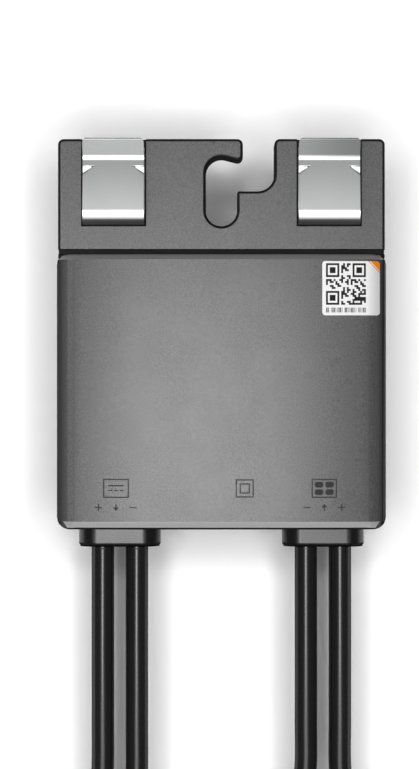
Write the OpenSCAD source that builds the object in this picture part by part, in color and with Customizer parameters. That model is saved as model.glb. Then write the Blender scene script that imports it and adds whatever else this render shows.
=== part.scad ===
// Power optimizer for one solar module: a sealed plastic box with a slotted mounting flange,
// two spring clips and four leads. It lies on its back: the rear cover is on the plane z = 0,
// the front face looks along +Z, the flange is towards +Y and the leads leave towards -Y.
// The origin is the middle of the rear face of the whole box. Lengths are millimetres.

/* [Housing] */
// Width of the box
body_w = 85.8; // [78:0.2:100]
// Height from the bottom edge of the box to the top edge of the flange
total_h = 101.5; // [95:0.5:120]
// Thickness from the rear face to the front face
body_t = 25; // [23:0.5:32]
// Thickness of the moulded walls
wall = 2.2; // [1.6:0.1:3]
// Radius of the long side edges of the front
side_r = 5; // [3:0.5:12]
// Chamfer along the top and bottom edges of the front
chamfer = 1.5; // [0.5:0.1:2]
// Corner radius at the top of the box, seen from the front
corner_top_r = 2.8; // [1.5:0.1:4]
// Corner radius at the bottom of the box, seen from the front
corner_bottom_r = 3.3; // [1.5:0.1:4.5]
// Thickness of the rear cover
cover_t = 2.5; // [2.2:0.1:3.5]
// Thickness of the seal between the housing and the rear cover
seal_t = 0.8; // [0.5:0.1:1.2]

/* [Mounting flange] */
// Height of the flange, from its top edge to the groove above the box
flange_h = 28.75; // [26:0.05:36]
// Thickness of the flange
flange_t = 9; // [8:0.5:10]
// Depth of the flange's front below the front of the box
flange_step = 3; // [1:0.5:4]
// Width of the groove between the flange and the box
groove_w = 1.2; // [0.6:0.1:2]
// Corner radius of the flange
flange_r = 1.5; // [0.8:0.1:3]
// Width of the upright part of the bolt slot
slot_w = 8.2; // [6.4:0.2:9]
// Length of the upright part of the bolt slot
slot_l = 18; // [15:0.5:19]
// Distance from the flange's top edge down to the slot
slot_top = 4.7; // [4.5:0.05:7]
// Width of the open channel that leads a bolt into the slot
channel_w = 8.2; // [6.4:0.2:8.6]
// Depth of the open channel
channel_d = 13.6; // [13:0.2:15]

/* [Spring clips] */
// Distance of each clip's middle from the side of the box
clip_edge = 14.9; // [11.5:0.1:16]
// Width of the clip strip
clip_w = 16; // [12:0.5:17]
// Thickness of the strip
clip_t = 0.8; // [0.5:0.1:1]
// Depth of the pocket that holds a clip
pocket_d = 2.4; // [2.2:0.1:3]
// Gap between the flange and the narrowest place of the clip
clip_gap = 0.8; // [0.4:0.1:1.6]

/* [Leads] */
// Diameter of each lead
lead_d = 6; // [5:0.2:6.6]
// Spacing of the two leads in one gland
lead_pitch = 9; // [8:0.2:10]
// Distance of each gland's middle from the side of the box
gland_edge = 16; // [15:0.1:18]
// Length of a gland outside the box
gland_out = 5; // [3:0.5:8]
// Width of a gland
gland_w = 21.8; // [20:0.2:23]
// Thickness of a gland
gland_t = 10; // [9.4:0.2:11]
// Turns of each layer in a coil
coil_turns = 2; // [2:1:2]

/* [Label] */
// Width of the label
label_w = 15; // [10:0.5:16]
// Height of the label
label_h = 14; // [8:0.5:18]

/* [Hidden] */
$fn = 64;
eps = 0.05;
cut = 1;

// Levels and edges of the box
y_top = total_h / 2;
y_bot = -total_h / 2;
y_flange = y_top - flange_h;
y_body = y_flange - groove_w;
z_rim = cover_t + seal_t;
z_front = body_t;
z_ceiling = z_front - wall;
z_flange = z_front - flange_step;
z_flange_rear = z_flange - flange_t;
groove_floor = z_flange - 3;
flange_w = body_w - 0.8;
lap = 1;
inner_x = body_w / 2 - wall;
edge_r = min(side_r, z_front - z_rim - cut);
inner_edge_r = max(edge_r - wall, cut);

// Rear of the flange
core_w = 8;
core_d = 2.6;
core_h = 17;
core_off = 5.5;
clip_x = body_w / 2 - clip_edge;
core_x = [clip_x - core_off, clip_x + core_off];
core_top = 4;
gusset_t = 2.4;
gusset_l = 18;
gusset_z = 4;

// Nose, corners and fillet of the bolt slot, and the gussets beside it
channel_rib = 1.49;
channel_x = slot_w / 2 + channel_rib;
gusset_gap = 1.84;
gusset_edge = 2.5;
gusset_in = channel_x + channel_w + gusset_gap;
gusset_out = body_w / 2 - gusset_edge;
gusset_x = [-gusset_out, -gusset_in, gusset_in, gusset_out];
nose_r = 1.4;
nose_d = 4.2;
nose_top_r = 1.5;
block_r = 1.4;
fillet_r = 4.4;
step_r = 0.6;
nose_at = [channel_x - nose_r, slot_top + slot_w / 2 - nose_d];
nose_turn = atan2(nose_at[0], nose_at[1]) - acos(min(1, (slot_w / 2 + nose_r) / norm(nose_at)));

// Clip profile, measured from the flange's top edge
pocket_w = clip_w + 0.7;
pocket_h = 22.65;
bend_gap = 0.3;
bend_l = 3.7;
bend_steps = 24;
pinch_d = 5;
pinch_l = 0.85;
pinch_steps = 6;
tip_out = -0.1;
lip_rise = 2.6;
arm_d = 2;
lip_r = 1.5;
barb_d = 7.25;
barb_w = 2.5;
barb_l = 2.05;
barb_cut = 0.3;
barb_angle = 22;
peg_r = 1.5;
peg_hole_r = 1.6;
peg_head_r = 2.3;
peg_head_t = 0.6;
peg_d = 10;
z_arm = z_flange - pocket_d;
bend_r = 0.4 + pocket_d;
bend_y = y_top - pocket_h + bend_gap + bend_l;
z_tongue = z_arm + 2 * bend_r - clip_t;
pinch_y = y_top - pinch_d;
z_pinch = z_flange + clip_gap;
tip_y = y_top + tip_out;

// Screws and their bosses
boss_r = 3.25;
boss_in = 3.4;
screw_r = 1.5;
screw_l = 10;
screw_head_r = 2.7;
screw_head_t = 1.5;
screw_seat_r = 2.9;
drive_w = 0.9;
drive_l = 3.2;
drive_t = 0.8;
boss_up = 17.5;
boss_x = inner_x - boss_in;
screw_at = [
    [-boss_x, y_body - wall - boss_in], [boss_x, y_body - wall - boss_in],
    [-boss_x, y_bot + boss_up], [boss_x, y_bot + boss_up],
    [0, y_bot + wall + boss_in]
];

// Glands and the leads' ends inside
gland_x = body_w / 2 - gland_edge;
gland_z = 11;
collar_t = 1.5;
collar_over = 1;
bush_wall = 1.2;
bush_in = 0.8;
lead_fit = 0.06;
lead_r = lead_d / 2;
y_mouth = y_bot - gland_out;
lead_end_y = y_bot + 8.5;
core_r = 1.25;
core_fit = 0.03;
lead_x = [-gland_x - lead_pitch / 2, -gland_x + lead_pitch / 2,
          gland_x - lead_pitch / 2, gland_x + lead_pitch / 2];

// Circuit board and its parts, as centre, size and height
board_t = 1.6;
terminal_w = 4.2;
board_z = 6.5;
board_top = board_z + board_t;
board_edge = 0.3;
board_x = gland_x + (lead_pitch + terminal_w) / 2 + board_edge;
board_y0 = y_bot + 10.5;
board_y1 = y_body - wall - 2.6;
post_r = 2.2;
post_in = 3;
post_x = board_x - post_in;
terminal_l = 7;
terminal_h = 5.2;
part_gap = 2.8;
part_y = (board_y0 + board_y1) / 2;
inductor_w = 26;
inductor_h = 13;
inductor_edge = 7;
inductor_up = 4;
inductor_plate = 3;
inductor_leg = 3.4;
post_core_r = 5;
winding_gap = 0.4;
winding_r = inductor_w / 2 - inductor_leg - winding_gap;
inductor_at = [-board_x + inductor_edge + inductor_w / 2, part_y + inductor_up];
inductor_top = inductor_at[1] + inductor_w / 2;
inductor_low = inductor_at[1] - inductor_w / 2;
switch_w = 6.4;
switch_l = 6;
switch_h = 2.4;
switch_step = 9;
switch_low = 12.5;
tab_l = 1.6;
tab_h = 0.9;
tab_in = 0.5;
switch_x = inductor_at[0] + inductor_w / 2 + part_gap + switch_w / 2;
switches = [for (i = [0:3]) [switch_x, part_y - switch_low + switch_step * i]];
film_w = 18;
film_l = 6;
film_h = 11;
film_step = 7.7;
film_low = 11.5;
film_x = switch_x + switch_w / 2 + part_gap + film_w / 2;
film_caps = [for (i = [0:1]) [film_x, part_y - film_low + film_step * i, film_w, film_l, film_h]];
can_r = 4;
can_h = 12;
can_gap = 2.4;
can_step = 9.6;
can_caps = [for (i = [0:2]) [-board_x + can_r + can_gap + can_step * i, inductor_low - can_gap - can_r]];
diode_w = 9;
diode_l = 6;
diode_h = 2.4;
diode_up = 5.2;
diode = [film_x, part_y + diode_up, diode_w, diode_l, diode_h];
chip_w = 9;
chip_h = 1.3;
chip_up = 16;
chip = [film_x, part_y + chip_up, chip_w, chip_w, chip_h];
choke_r = 4.6;
choke_bore = 2;
choke_h = 5;
choke_edge = 9;
choke_gap = 0.6;
choke_at = [-board_x + choke_edge, inductor_top + choke_gap + choke_r];
shunt_w = 7;
shunt_l = 3.2;
shunt_h = 1;
shunt_in = 4;
chip_cap_w = 2;
chip_cap_l = 3.2;
chip_cap_step = 3.6;
chip_cap_up = 5.5;
shunt = [0, board_y0 + shunt_in, shunt_w, shunt_l, shunt_h];
chip_caps = [for (i = [0:4]) [inductor_at[0] + chip_cap_step * i, inductor_top + chip_cap_up,
                              chip_cap_w, chip_cap_l, chip_cap_w]];
fill_free = 13;
fill_top = z_front - fill_free;
fill_gap = 0.08;

// Label on the front face
label_t = 0.15;
label_r = 0.8;
label_right = body_w / 2 - 1.83;
label_top = y_body - 2;

// Coils of the two output leads, one on the other
layer_h = lead_d * 1.05;
coil_in_r = 24;
coil_out_r = coil_in_r + coil_turns * lead_d * 1.035;
coil_shift = 5.8;
tie_t = 1.2;
tie_w = 4.8;
tie_fit = 0.1;
tie_bulge = 0.3;
tie_head = [6, 7, 4.5];
tie_angles = [-35, 25];
coil_z = tie_t + 2 * tie_fit;
coil_s = 185;
coil_c = [lead_x[0] - coil_shift + coil_out_r, y_mouth - coil_s];
ring_in = coil_in_r - lead_r;
ring_out = coil_out_r + lead_r;
layer_z = [for (i = [0:3]) coil_z + layer_h * (i + 0.5)];
ring_clear = sqrt(pow(ring_out + lead_r, 2) - pow(coil_out_r, 2)) + 0.4;
coil_left = coil_c[0] - coil_out_r;
coil_ahead = 8;

// Connectors, measured along their axis from the lead's entry
nut_r = 8;
nut_l = 15;
nut_lip = 3;
nut_bore_r = 6.2;
flute_r = 1.4;
flute_out = 0.7;
flutes = 10;
spigot_r = 6.1;
spigot_from = 9.2;
collar_r = 7.6;
collar_from = nut_l + 0.2;
collar_to = 21;
barrel_r = 6.8;
shroud_r = 7.2;
shroud_bore_r = 5.3;
shroud_from = 29;
shell_l = 51;
window_w = 5;
window_from = 37;
window_l = 7;
nose_r_out = 4.8;
nose_from = 31;
contact_r = 2.8;
contact_from = 12;
pin_r = 2;
pin_to = 46;
socket_bore_r = 2.05;
socket_from = 30;
arm_t = 1.6;
arm_w = 5;
arm_from = 20;
arm_to = 46;
arm_out = 6;
hook_l = 3;
hook_out = 0.9;
ring_seal_r = 5.6;
ring_seal_l = 2;
wire_seal_from = nut_lip + 0.2;
wire_seal_to = spigot_from - 0.2;
cable_in = 9;
axis_z = nut_r;
in_conn_s = 91;
in_conn_x = 4.3;
out_conn_in = 28.4;
out_conn_gap = 2.6;
out_conn_x = coil_left + out_conn_in;
out_plus_y = coil_c[1] - ring_out - out_conn_gap - nut_r;
out_minus_y = out_plus_y - 2 * nut_r - 2;

// Routes of the leads. Each point is the shift to the right, the distance out of the gland and the height
sides = 10;
smooth = 6;
start_s = y_mouth - lead_end_y;
plus_s = coil_s - 60;
minus_s = coil_s - 42;
plus_in = [[0, 0, gland_z], [0, 3, gland_z], [0, 25, 11.3], [0, 45, 11.2], [-0.2, 62, 10.4],
           [-1.9, 85, 7.6], [-4.9, 105, 5], [-coil_shift, plus_s, 4.1]];
minus_in = [[0, 0, gland_z], [0, 3, gland_z], [0, 25, 11.3], [0, 45, 11.2], [-0.22, 65, 10.9],
            [-2.2, 85, 11.6], [-8.2, 105, 13], [-13.2, plus_s, 15.2],
            [-coil_shift - lead_pitch, minus_s, layer_z[2]]];
pv_in = [[0, 0, gland_z], [0, 3, gland_z], [0, 25, 11.3], [0, 45, 11.2], [0.035, 60, 10.6],
         [0.5, 72, 9.4], [0.93, 82, 8.4]];
plus_out = [[0, 4, layer_z[1] - 0.2], [0.8, 10, 10.2], [5.4, 19, 9.4], [14.4, 26, 8.6]];
minus_out = [[0, 10, layer_z[3] - 2], [0.8, 22, 17], [5.4, 34, 12.5], [14.4, 43, 9.2]];

// Outline of the box seen from the front, drawn in by a margin
module plan(margin) {
    w = body_w - 2 * margin;
    y0 = y_bot + margin;
    y1 = y_body - margin;
    rb = max(corner_bottom_r - margin, 0.4);
    rt = max(corner_top_r - margin, 0.4);
    translate([-w / 2, y0 + rb])
        square([w, y1 - y0 - rb - rt]);
    translate([-w / 2 + rb, y0])
        square([w - 2 * rb, rb + eps]);
    translate([-w / 2 + rt, y1 - rt - eps])
        square([w - 2 * rt, rt + eps]);
    for (side = [-1, 1]) {
        translate([side * (w / 2 - rb), y0 + rb])
            circle(r = rb);
        translate([side * (w / 2 - rt), y1 - rt])
            circle(r = rt);
    }
}

// Cross-section of the box seen from below, with its two rounded side edges
module section(half, z0, z1, r) {
    translate([-half, z0])
        square([2 * half, z1 - r - z0]);
    translate([-half + r, z0])
        square([2 * (half - r), z1 - z0]);
    for (side = [-1, 1])
        translate([side * (half - r), z1 - r])
            circle(r = r);
}

// Bar with the cross-section, from y1 down to y0
module section_bar(half, z0, z1, r, y0, y1) {
    translate([0, y1, 0])
        rotate([90, 0, 0])
            linear_extrude(height = y1 - y0)
                section(half, z0, z1, r);
}

// Prism along X with a profile drawn in Y and Z
module along_x(length) {
    translate([-length / 2, 0, 0])
        rotate([90, 0, 90])
            linear_extrude(height = length)
                children();
}

// Prism along Y, from y1 down to y0, with a profile drawn in X and Z
module along_y(y0, y1) {
    translate([0, y1, 0])
        rotate([90, 0, 0])
            linear_extrude(height = y1 - y0)
                children();
}

// Flat oval with round ends
module stadium(w, t) {
    square([w - t, t], center = true);
    for (side = [-1, 1])
        translate([side * (w - t) / 2, 0])
            circle(d = t);
}

// Plain block given by its middle, its size and its height
module block(p, z, grow = 0) {
    translate([p[0] - p[2] / 2 - grow, p[1] - p[3] / 2 - grow, z - grow])
        cube([p[2] + 2 * grow, p[3] + 2 * grow, p[4] + 2 * grow]);
}

// Upright round bar
module rod(p, r, z0, z1) {
    translate([p[0], p[1], z0])
        cylinder(r = r, h = z1 - z0);
}

// Round bar along one side edge of the front, with a conical chamfer at each end
module edge_bar(side) {
    translate([side * (body_w / 2 - edge_r), y_body - chamfer, z_front - edge_r])
        rotate([90, 0, 0]) {
            cylinder(r = edge_r, h = y_body - y_bot - 2 * chamfer);
            translate([0, 0, -chamfer])
                cylinder(r1 = edge_r - chamfer, r2 = edge_r, h = chamfer);
            translate([0, 0, y_body - y_bot - 2 * chamfer])
                cylinder(r1 = edge_r, r2 = edge_r - chamfer, h = chamfer);
        }
}

// Solid box with rounded sides, and chamfered ends that follow them
module body_solid() {
    intersection() {
        translate([0, 0, z_rim])
            linear_extrude(height = z_front - z_rim)
                plan(0);
        union() {
            along_x(body_w - 2 * edge_r)
                polygon([[y_bot, z_rim - cut], [y_body, z_rim - cut], [y_body, z_front - chamfer],
                         [y_body - chamfer, z_front], [y_bot + chamfer, z_front],
                         [y_bot, z_front - chamfer]]);
            translate([-body_w, y_bot - cut, z_rim - cut])
                cube([2 * body_w, y_body - y_bot + 2 * cut, z_front - edge_r - z_rim + cut]);
            edge_bar(-1);
            edge_bar(1);
        }
    }
}

// Room inside the box, open at the rear
module body_room() {
    intersection() {
        translate([0, 0, z_rim - cut])
            linear_extrude(height = z_front)
                plan(wall);
        section_bar(inner_x, z_rim - 2 * cut, z_ceiling, inner_edge_r, y_bot - cut, y_body + cut);
    }
}

// Outline of the flange without its slot
module flange_plan() {
    translate([-flange_w / 2, y_body - lap])
        square([flange_w, flange_h + groove_w + lap - flange_r]);
    translate([-flange_w / 2 + flange_r, y_top - flange_r - eps])
        square([flange_w - 2 * flange_r, flange_r + eps]);
    for (side = [-1, 1])
        translate([side * (flange_w / 2 - flange_r), y_top - flange_r])
            circle(r = flange_r);
}

// Square corner less a circle: rounds off a corner of the flange
module corner_off(x, y, r, sx, sy) {
    difference() {
        translate([x + (sx < 0 ? -r : 0), y + (sy < 0 ? -r : 0)])
            square([r, r]);
        translate([x + sx * r, y + sy * r])
            circle(r = r);
    }
}

// Bolt slot: an upright oval and a channel that opens at the flange's top edge
module slot_plan() {
    r = slot_w / 2;
    right = channel_x + channel_w;
    y_floor = y_top - channel_d;
    y_nose = y_top - nose_d;
    y_arch = y_top - slot_top - r;
    translate([0, y_arch])
        circle(r = r);
    translate([0, y_top - slot_top - slot_l + r])
        circle(r = r);
    translate([-r, y_top - slot_top - slot_l + r])
        square([slot_w, slot_l - slot_w]);
    translate([channel_x, y_floor + fillet_r])
        square([channel_w, channel_d - fillet_r + cut]);
    translate([0, y_floor])
        square([right - fillet_r, fillet_r + eps]);
    translate([right - fillet_r, y_floor + fillet_r])
        circle(r = fillet_r);
    difference() {
        polygon([[0, y_floor + eps], [channel_x + eps, y_floor + eps], [channel_x + eps, y_nose],
                 [nose_at[0], y_nose],
                 [nose_at[0] - nose_r * sin(nose_turn), y_nose - nose_r * cos(nose_turn)],
                 [r * sin(nose_turn), y_arch + r * cos(nose_turn)], [0, y_arch]]);
        translate([nose_at[0], y_nose])
            circle(r = nose_r);
    }
    corner_off(channel_x, y_top, nose_top_r, -1, -1);
    corner_off(right, y_top, block_r, 1, -1);
    corner_off(r, y_floor, step_r, 1, -1);
}

// Flange with slot, clip pockets and cored rear
module flange_solid() {
    difference() {
        translate([0, 0, z_flange_rear])
            linear_extrude(height = flange_t)
                flange_plan();
        translate([0, 0, z_flange_rear - cut])
            linear_extrude(height = flange_t + 2 * cut)
                slot_plan();
        for (side = [-1, 1]) {
            translate([side * clip_x - pocket_w / 2, y_top - pocket_h, z_arm])
                cube([pocket_w, pocket_h + cut, pocket_d + cut]);
            for (x = core_x)
                translate([side * x - core_w / 2, y_top - core_top - core_h, z_flange_rear - cut])
                    cube([core_w, core_h, core_d + cut]);
        }
        translate([-body_w, y_body, groove_floor])
            cube([2 * body_w, groove_w, z_front]);
    }
}

// Stiffening web between the rear of the flange and the box
module gusset(x) {
    translate([x, 0, 0])
        along_x(gusset_t)
            polygon([[y_body - lap, gusset_z], [y_body, gusset_z], [y_body + gusset_l, z_flange_rear],
                     [y_body + gusset_l, z_flange_rear + eps], [y_body - lap, z_flange_rear + eps]]);
}

// Staked peg that holds a clip in its pocket
module clip_peg(side) {
    at = [side * clip_x, y_top - peg_d];
    rod(at, peg_r, z_arm - eps, z_arm + clip_t + eps);
    rod(at, peg_head_r, z_arm + clip_t, z_arm + clip_t + peg_head_t);
}

module front_housing() {
    color("#8c8c8c")
        difference() {
            union() {
                difference() {
                    union() {
                        body_solid();
                        flange_solid();
                        for (x = gusset_x)
                            gusset(x);
                    }
                    body_room();
                }
                intersection() {
                    for (p = screw_at)
                        rod(p, boss_r, cover_t, z_ceiling + eps);
                    section_bar(inner_x + eps, 0, z_ceiling + eps, inner_edge_r, y_bot, y_top);
                }
                clip_peg(-1);
                clip_peg(1);
            }
            for (p = screw_at)
                rod(p, screw_r, cover_t - cut, cover_t + screw_l);
            for (side = [-1, 1])
                translate([side * gland_x, 0, gland_z])
                    along_y(y_bot - cut, y_bot + wall + cut)
                        stadium(gland_w, gland_t);
        }
}

module rear_cover() {
    color("#7c7c7c")
        difference() {
            union() {
                linear_extrude(height = cover_t)
                    plan(0);
                for (sx = [-1, 1], y = [board_y0 + post_in, board_y1 - post_in])
                    rod([sx * post_x, y], post_r, cover_t - eps, board_z);
            }
            for (p = screw_at) {
                rod(p, screw_r, -cut, cover_t + cut);
                rod(p, screw_seat_r, -cut, screw_head_t + eps);
            }
        }
}

module cover_seal() {
    color("#202020")
        translate([0, 0, cover_t])
            linear_extrude(height = seal_t)
                difference() {
                    plan(0.3);
                    plan(wall - 0.1);
                    for (p = screw_at)
                        translate(p)
                            circle(r = boss_r + eps);
                }
}

module cover_screws() {
    color("#b8b8b8")
        for (p = screw_at)
            difference() {
                union() {
                    rod(p, screw_head_r, eps, screw_head_t + eps);
                    rod(p, screw_r, screw_head_t, screw_head_t + screw_l);
                }
                for (turn = [0, 90])
                    translate([p[0], p[1], 0])
                        rotate([0, 0, turn])
                            translate([-drive_l / 2, -drive_w / 2, -cut])
                                cube([drive_l, drive_w, cut + drive_t]);
            }
}

module label() {
    color("#f4f4f4")
        intersection() {
            difference() {
                section_bar(body_w / 2 + label_t, z_rim, z_front + label_t, edge_r + label_t,
                            label_top - label_h - cut, label_top + cut);
                section_bar(body_w / 2, z_rim - cut, z_front, edge_r,
                            label_top - label_h - 2 * cut, label_top + 2 * cut);
            }
            translate([label_right - label_w / 2, label_top - label_h / 2, z_front - edge_r])
                linear_extrude(height = edge_r + cut) {
                    square([label_w - 2 * label_r, label_h], center = true);
                    square([label_w, label_h - 2 * label_r], center = true);
                    for (sx = [-1, 1], sy = [-1, 1])
                        translate([sx * (label_w / 2 - label_r), sy * (label_h / 2 - label_r)])
                            circle(r = label_r);
                }
        }
}

// Points on half an oval, from the rear of the bend round to its front
function bend_arc(l, r) = [
    for (k = [0 : bend_steps])
        let (turn = -90 - 180 * k / bend_steps)
            [bend_y + l * cos(turn), z_arm + bend_r + r * sin(turn)]];

// Points on the soft bend between two straight runs that meet at p
function soft_bend(from, p, to) = [
    for (k = [0 : pinch_steps])
        let (s = k / pinch_steps)
            let (a = p + pinch_l * (from - p) / norm(from - p))
                let (b = p + pinch_l * (to - p) / norm(to - p))
                    (1 - s) * (1 - s) * a + 2 * s * (1 - s) * p + s * s * b];

// Side view of a clip: arm, oval bend, tongue, pinch and lip
module clip_profile() {
    inner = bend_arc(bend_l - clip_t, bend_r - clip_t);
    lip_front = [tip_y - clip_t / 2, z_pinch + lip_rise + clip_t];
    lip_rear = [tip_y, z_pinch + lip_rise];
    polygon(concat(
        [[y_top - arm_d, z_arm + clip_t], [y_top - arm_d, z_arm]],
        bend_arc(bend_l, bend_r),
        soft_bend([bend_y, z_tongue + clip_t], [pinch_y, z_pinch + clip_t], lip_front),
        [lip_front, lip_rear],
        soft_bend(lip_rear, [pinch_y, z_pinch], [bend_y, z_tongue]),
        [for (k = [bend_steps : -1 : 0]) inner[k]]));
}

// Outline of the clip seen from the front, with rounded lip corners and cut barbs
module clip_plan() {
    difference() {
        translate([-clip_w / 2, y_top - pocket_h])
            square([clip_w, tip_y + eps - y_top + pocket_h]);
        corner_off(-clip_w / 2, tip_y + eps, lip_r, 1, -1);
        corner_off(clip_w / 2, tip_y + eps, lip_r, -1, -1);
    }
}

// Cut and bent corner that bites into the frame
module barb(side) {
    share = (barb_d - pinch_d) / (pinch_y - bend_y);
    z_at = z_pinch + (z_tongue - z_pinch) * share;
    translate([side * clip_w / 2, y_top - barb_d, z_at])
        rotate([barb_angle, 0, 0])
            linear_extrude(height = clip_t)
                polygon([[0, 0.2], [0, -barb_l], [-side * barb_w, 0], [-side * barb_w, 0.2]]);
}

module spring_clip(side) {
    color("#d8d8d8")
        translate([side * clip_x, 0, 0]) {
            difference() {
                intersection() {
                    along_x(clip_w)
                        clip_profile();
                    translate([0, 0, z_arm - cut])
                        linear_extrude(height = z_front)
                            clip_plan();
                }
                rod([0, y_top - peg_d], peg_hole_r, z_arm - cut, z_arm + clip_t + 0.5);
                for (edge = [-1, 1])
                    translate([edge * clip_w / 2, y_top - barb_d, z_arm + 2 * clip_t])
                        linear_extrude(height = z_front)
                            polygon([[edge, 0], [edge, -barb_l - barb_cut], [0, -barb_l - barb_cut],
                                     [-edge * (barb_w + barb_cut), 0]]);
            }
            for (edge = [-1, 1])
                barb(edge);
        }
}

module clip_left() {
    spring_clip(-1);
}

module clip_right() {
    spring_clip(1);
}

// Oval strain relief of one pair of leads
module gland(side) {
    y_in = y_bot + wall;
    color("#8c8c8c")
        translate([side * gland_x, 0, gland_z])
            difference() {
                union() {
                    along_y(y_mouth, y_in + collar_t)
                        stadium(gland_w - 2 * eps, gland_t - 2 * eps);
                    along_y(y_in + eps, y_in + collar_t)
                        stadium(gland_w + collar_over, gland_t + collar_over);
                }
                along_y(y_mouth - cut, y_in + collar_t + cut)
                    stadium(gland_w - 2 * bush_wall, gland_t - 2 * bush_wall);
            }
}

// Rubber bush that seals one pair of leads
module bush(side) {
    color("#1c1c1c")
        translate([side * gland_x, 0, gland_z])
            difference() {
                along_y(y_mouth + bush_in, y_bot + wall + collar_t)
                    stadium(gland_w - 2 * bush_wall, gland_t - 2 * bush_wall);
                for (edge = [-1, 1])
                    translate([edge * lead_pitch / 2, 0, 0])
                        along_y(y_mouth - cut, y_bot + wall + collar_t + cut)
                            circle(r = lead_r + lead_fit);
            }
}

module gland_out_pair() {
    gland(-1);
}

module gland_pv_pair() {
    gland(1);
}

module bush_out_pair() {
    bush(-1);
}

module bush_pv_pair() {
    bush(1);
}

module circuit_board() {
    color("#1f5a34")
        translate([-board_x, board_y0, board_z])
            cube([2 * board_x, board_y1 - board_y0, board_t]);
}

module inductor_core() {
    half = inductor_w / 2;
    color("#3a3a3e")
        translate([inductor_at[0], inductor_at[1], board_top]) {
            for (z = [0, inductor_h - inductor_plate])
                translate([-half, -half, z])
                    cube([inductor_w, inductor_w, inductor_plate]);
            for (side = [-1, 1])
                translate([side * (half - inductor_leg / 2) - inductor_leg / 2, -half, 0])
                    cube([inductor_leg, inductor_w, inductor_h]);
            cylinder(r = post_core_r, h = inductor_h);
        }
}

module inductor_winding() {
    color("#b4632c")
        translate([inductor_at[0], inductor_at[1], board_top + inductor_plate])
            difference() {
                cylinder(r = winding_r, h = inductor_h - 2 * inductor_plate);
                translate([0, 0, -cut])
                    cylinder(r = post_core_r + winding_gap, h = inductor_h);
            }
}

module film_capacitors() {
    color("#c8b23c")
        for (p = film_caps)
            block(p, board_top);
}

module can_capacitors() {
    color("#30343c")
        for (p = can_caps)
            rod(p, can_r, board_top, board_top + can_h);
}

// One power switch: a moulded body and its metal tab
module power_switch(p, grow = 0) {
    block([p[0], p[1], switch_w, switch_l, switch_h], board_top, grow);
    block([p[0], p[1] + (switch_l + tab_l) / 2 - eps, switch_w - 2 * tab_in, tab_l, tab_h], board_top, grow);
}

module switches_power() {
    color("#262626")
        for (p = switches)
            power_switch(p);
}

module bypass_diode() {
    color("#262626")
        block(diode, board_top);
}

module controller_chip() {
    color("#1a1a1a")
        block(chip, board_top);
}

module line_choke() {
    color("#2f6b48")
        difference() {
            rod(choke_at, choke_r, board_top, board_top + choke_h);
            rod(choke_at, choke_bore, board_top - cut, board_top + choke_h + cut);
        }
}

module current_shunt() {
    color("#a8a49c")
        block(shunt, board_top);
}

module chip_capacitors() {
    color("#b09a78")
        for (p = chip_caps)
            block(p, board_top);
}

// Soldered block that takes the end of one lead
module terminal(x, grow = 0) {
    block([x, board_y0 + terminal_l / 2, terminal_w, terminal_l, terminal_h], board_top, grow);
}

module lead_terminals() {
    color("#c9c3b4")
        difference() {
            for (x = lead_x)
                terminal(x);
            for (x = lead_x)
                translate([x, 0, gland_z])
                    along_y(board_y0 - cut, board_y0 + terminal_l + cut)
                        circle(r = core_r + core_fit);
        }
}

module lead_cores() {
    color("#b87a3c")
        for (x = lead_x)
            translate([x, 0, gland_z])
                along_y(lead_end_y + eps, board_y0 + terminal_l)
                    circle(r = core_r);
}

module potting() {
    y0 = y_bot + wall + collar_t + fill_gap;
    y1 = y_body - wall - fill_gap;
    half = inner_x - fill_gap;
    z0 = board_top + fill_gap;
    reach = boss_in + cut;
    color("#4a4d52")
        difference() {
            translate([-half, y0, z0])
                cube([2 * half, y1 - y0, fill_top - z0]);
            for (p = screw_at)
                rod(p, boss_r + fill_gap, 0, z_front);
            for (i = [0:3])
                translate([screw_at[i][0] < 0 ? -inner_x - cut : boss_x,
                           screw_at[i][1] - boss_r - fill_gap, 0])
                    cube([reach, 2 * (boss_r + fill_gap), z_front]);
            block([inductor_at[0], inductor_at[1], inductor_w, inductor_w, inductor_h], board_top, fill_gap);
            for (p = film_caps)
                block(p, board_top, fill_gap);
            for (p = can_caps)
                rod(p, can_r + fill_gap, board_top, z_front);
            for (p = switches)
                power_switch(p, fill_gap);
            block(diode, board_top, fill_gap);
            block(chip, board_top, fill_gap);
            rod(choke_at, choke_r + fill_gap, board_top, z_front);
            block(shunt, board_top, fill_gap);
            for (p = chip_caps)
                block(p, board_top, fill_gap);
            for (x = lead_x) {
                terminal(x, fill_gap);
                translate([x, 0, gland_z]) {
                    along_y(y0 - cut, lead_end_y + fill_gap)
                        circle(r = lead_r + fill_gap);
                    along_y(lead_end_y, board_y0 + cut)
                        circle(r = core_r + fill_gap);
                }
            }
        }
}

// Point of a smooth curve between the second and third of four points
function blend(a, b, c, d, t) =
    0.5 * (2 * b + (c - a) * t + (2 * a - 5 * b + 4 * c - d) * t * t + (3 * b - a - 3 * c + d) * t * t * t);

// Smooth line through route points
function line_through(p) = [
    for (i = [0:len(p) - 2], k = [0:smooth - 1])
        blend(p[max(i - 1, 0)], p[i], p[i + 1], p[min(i + 2, len(p) - 1)], k / smooth),
    p[len(p) - 1]
];

// Direction of a line at one of its points
function heading(p, i) =
    let (d = p[min(i + 1, len(p) - 1)] - p[max(i - 1, 0)]) d / norm(d);

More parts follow.
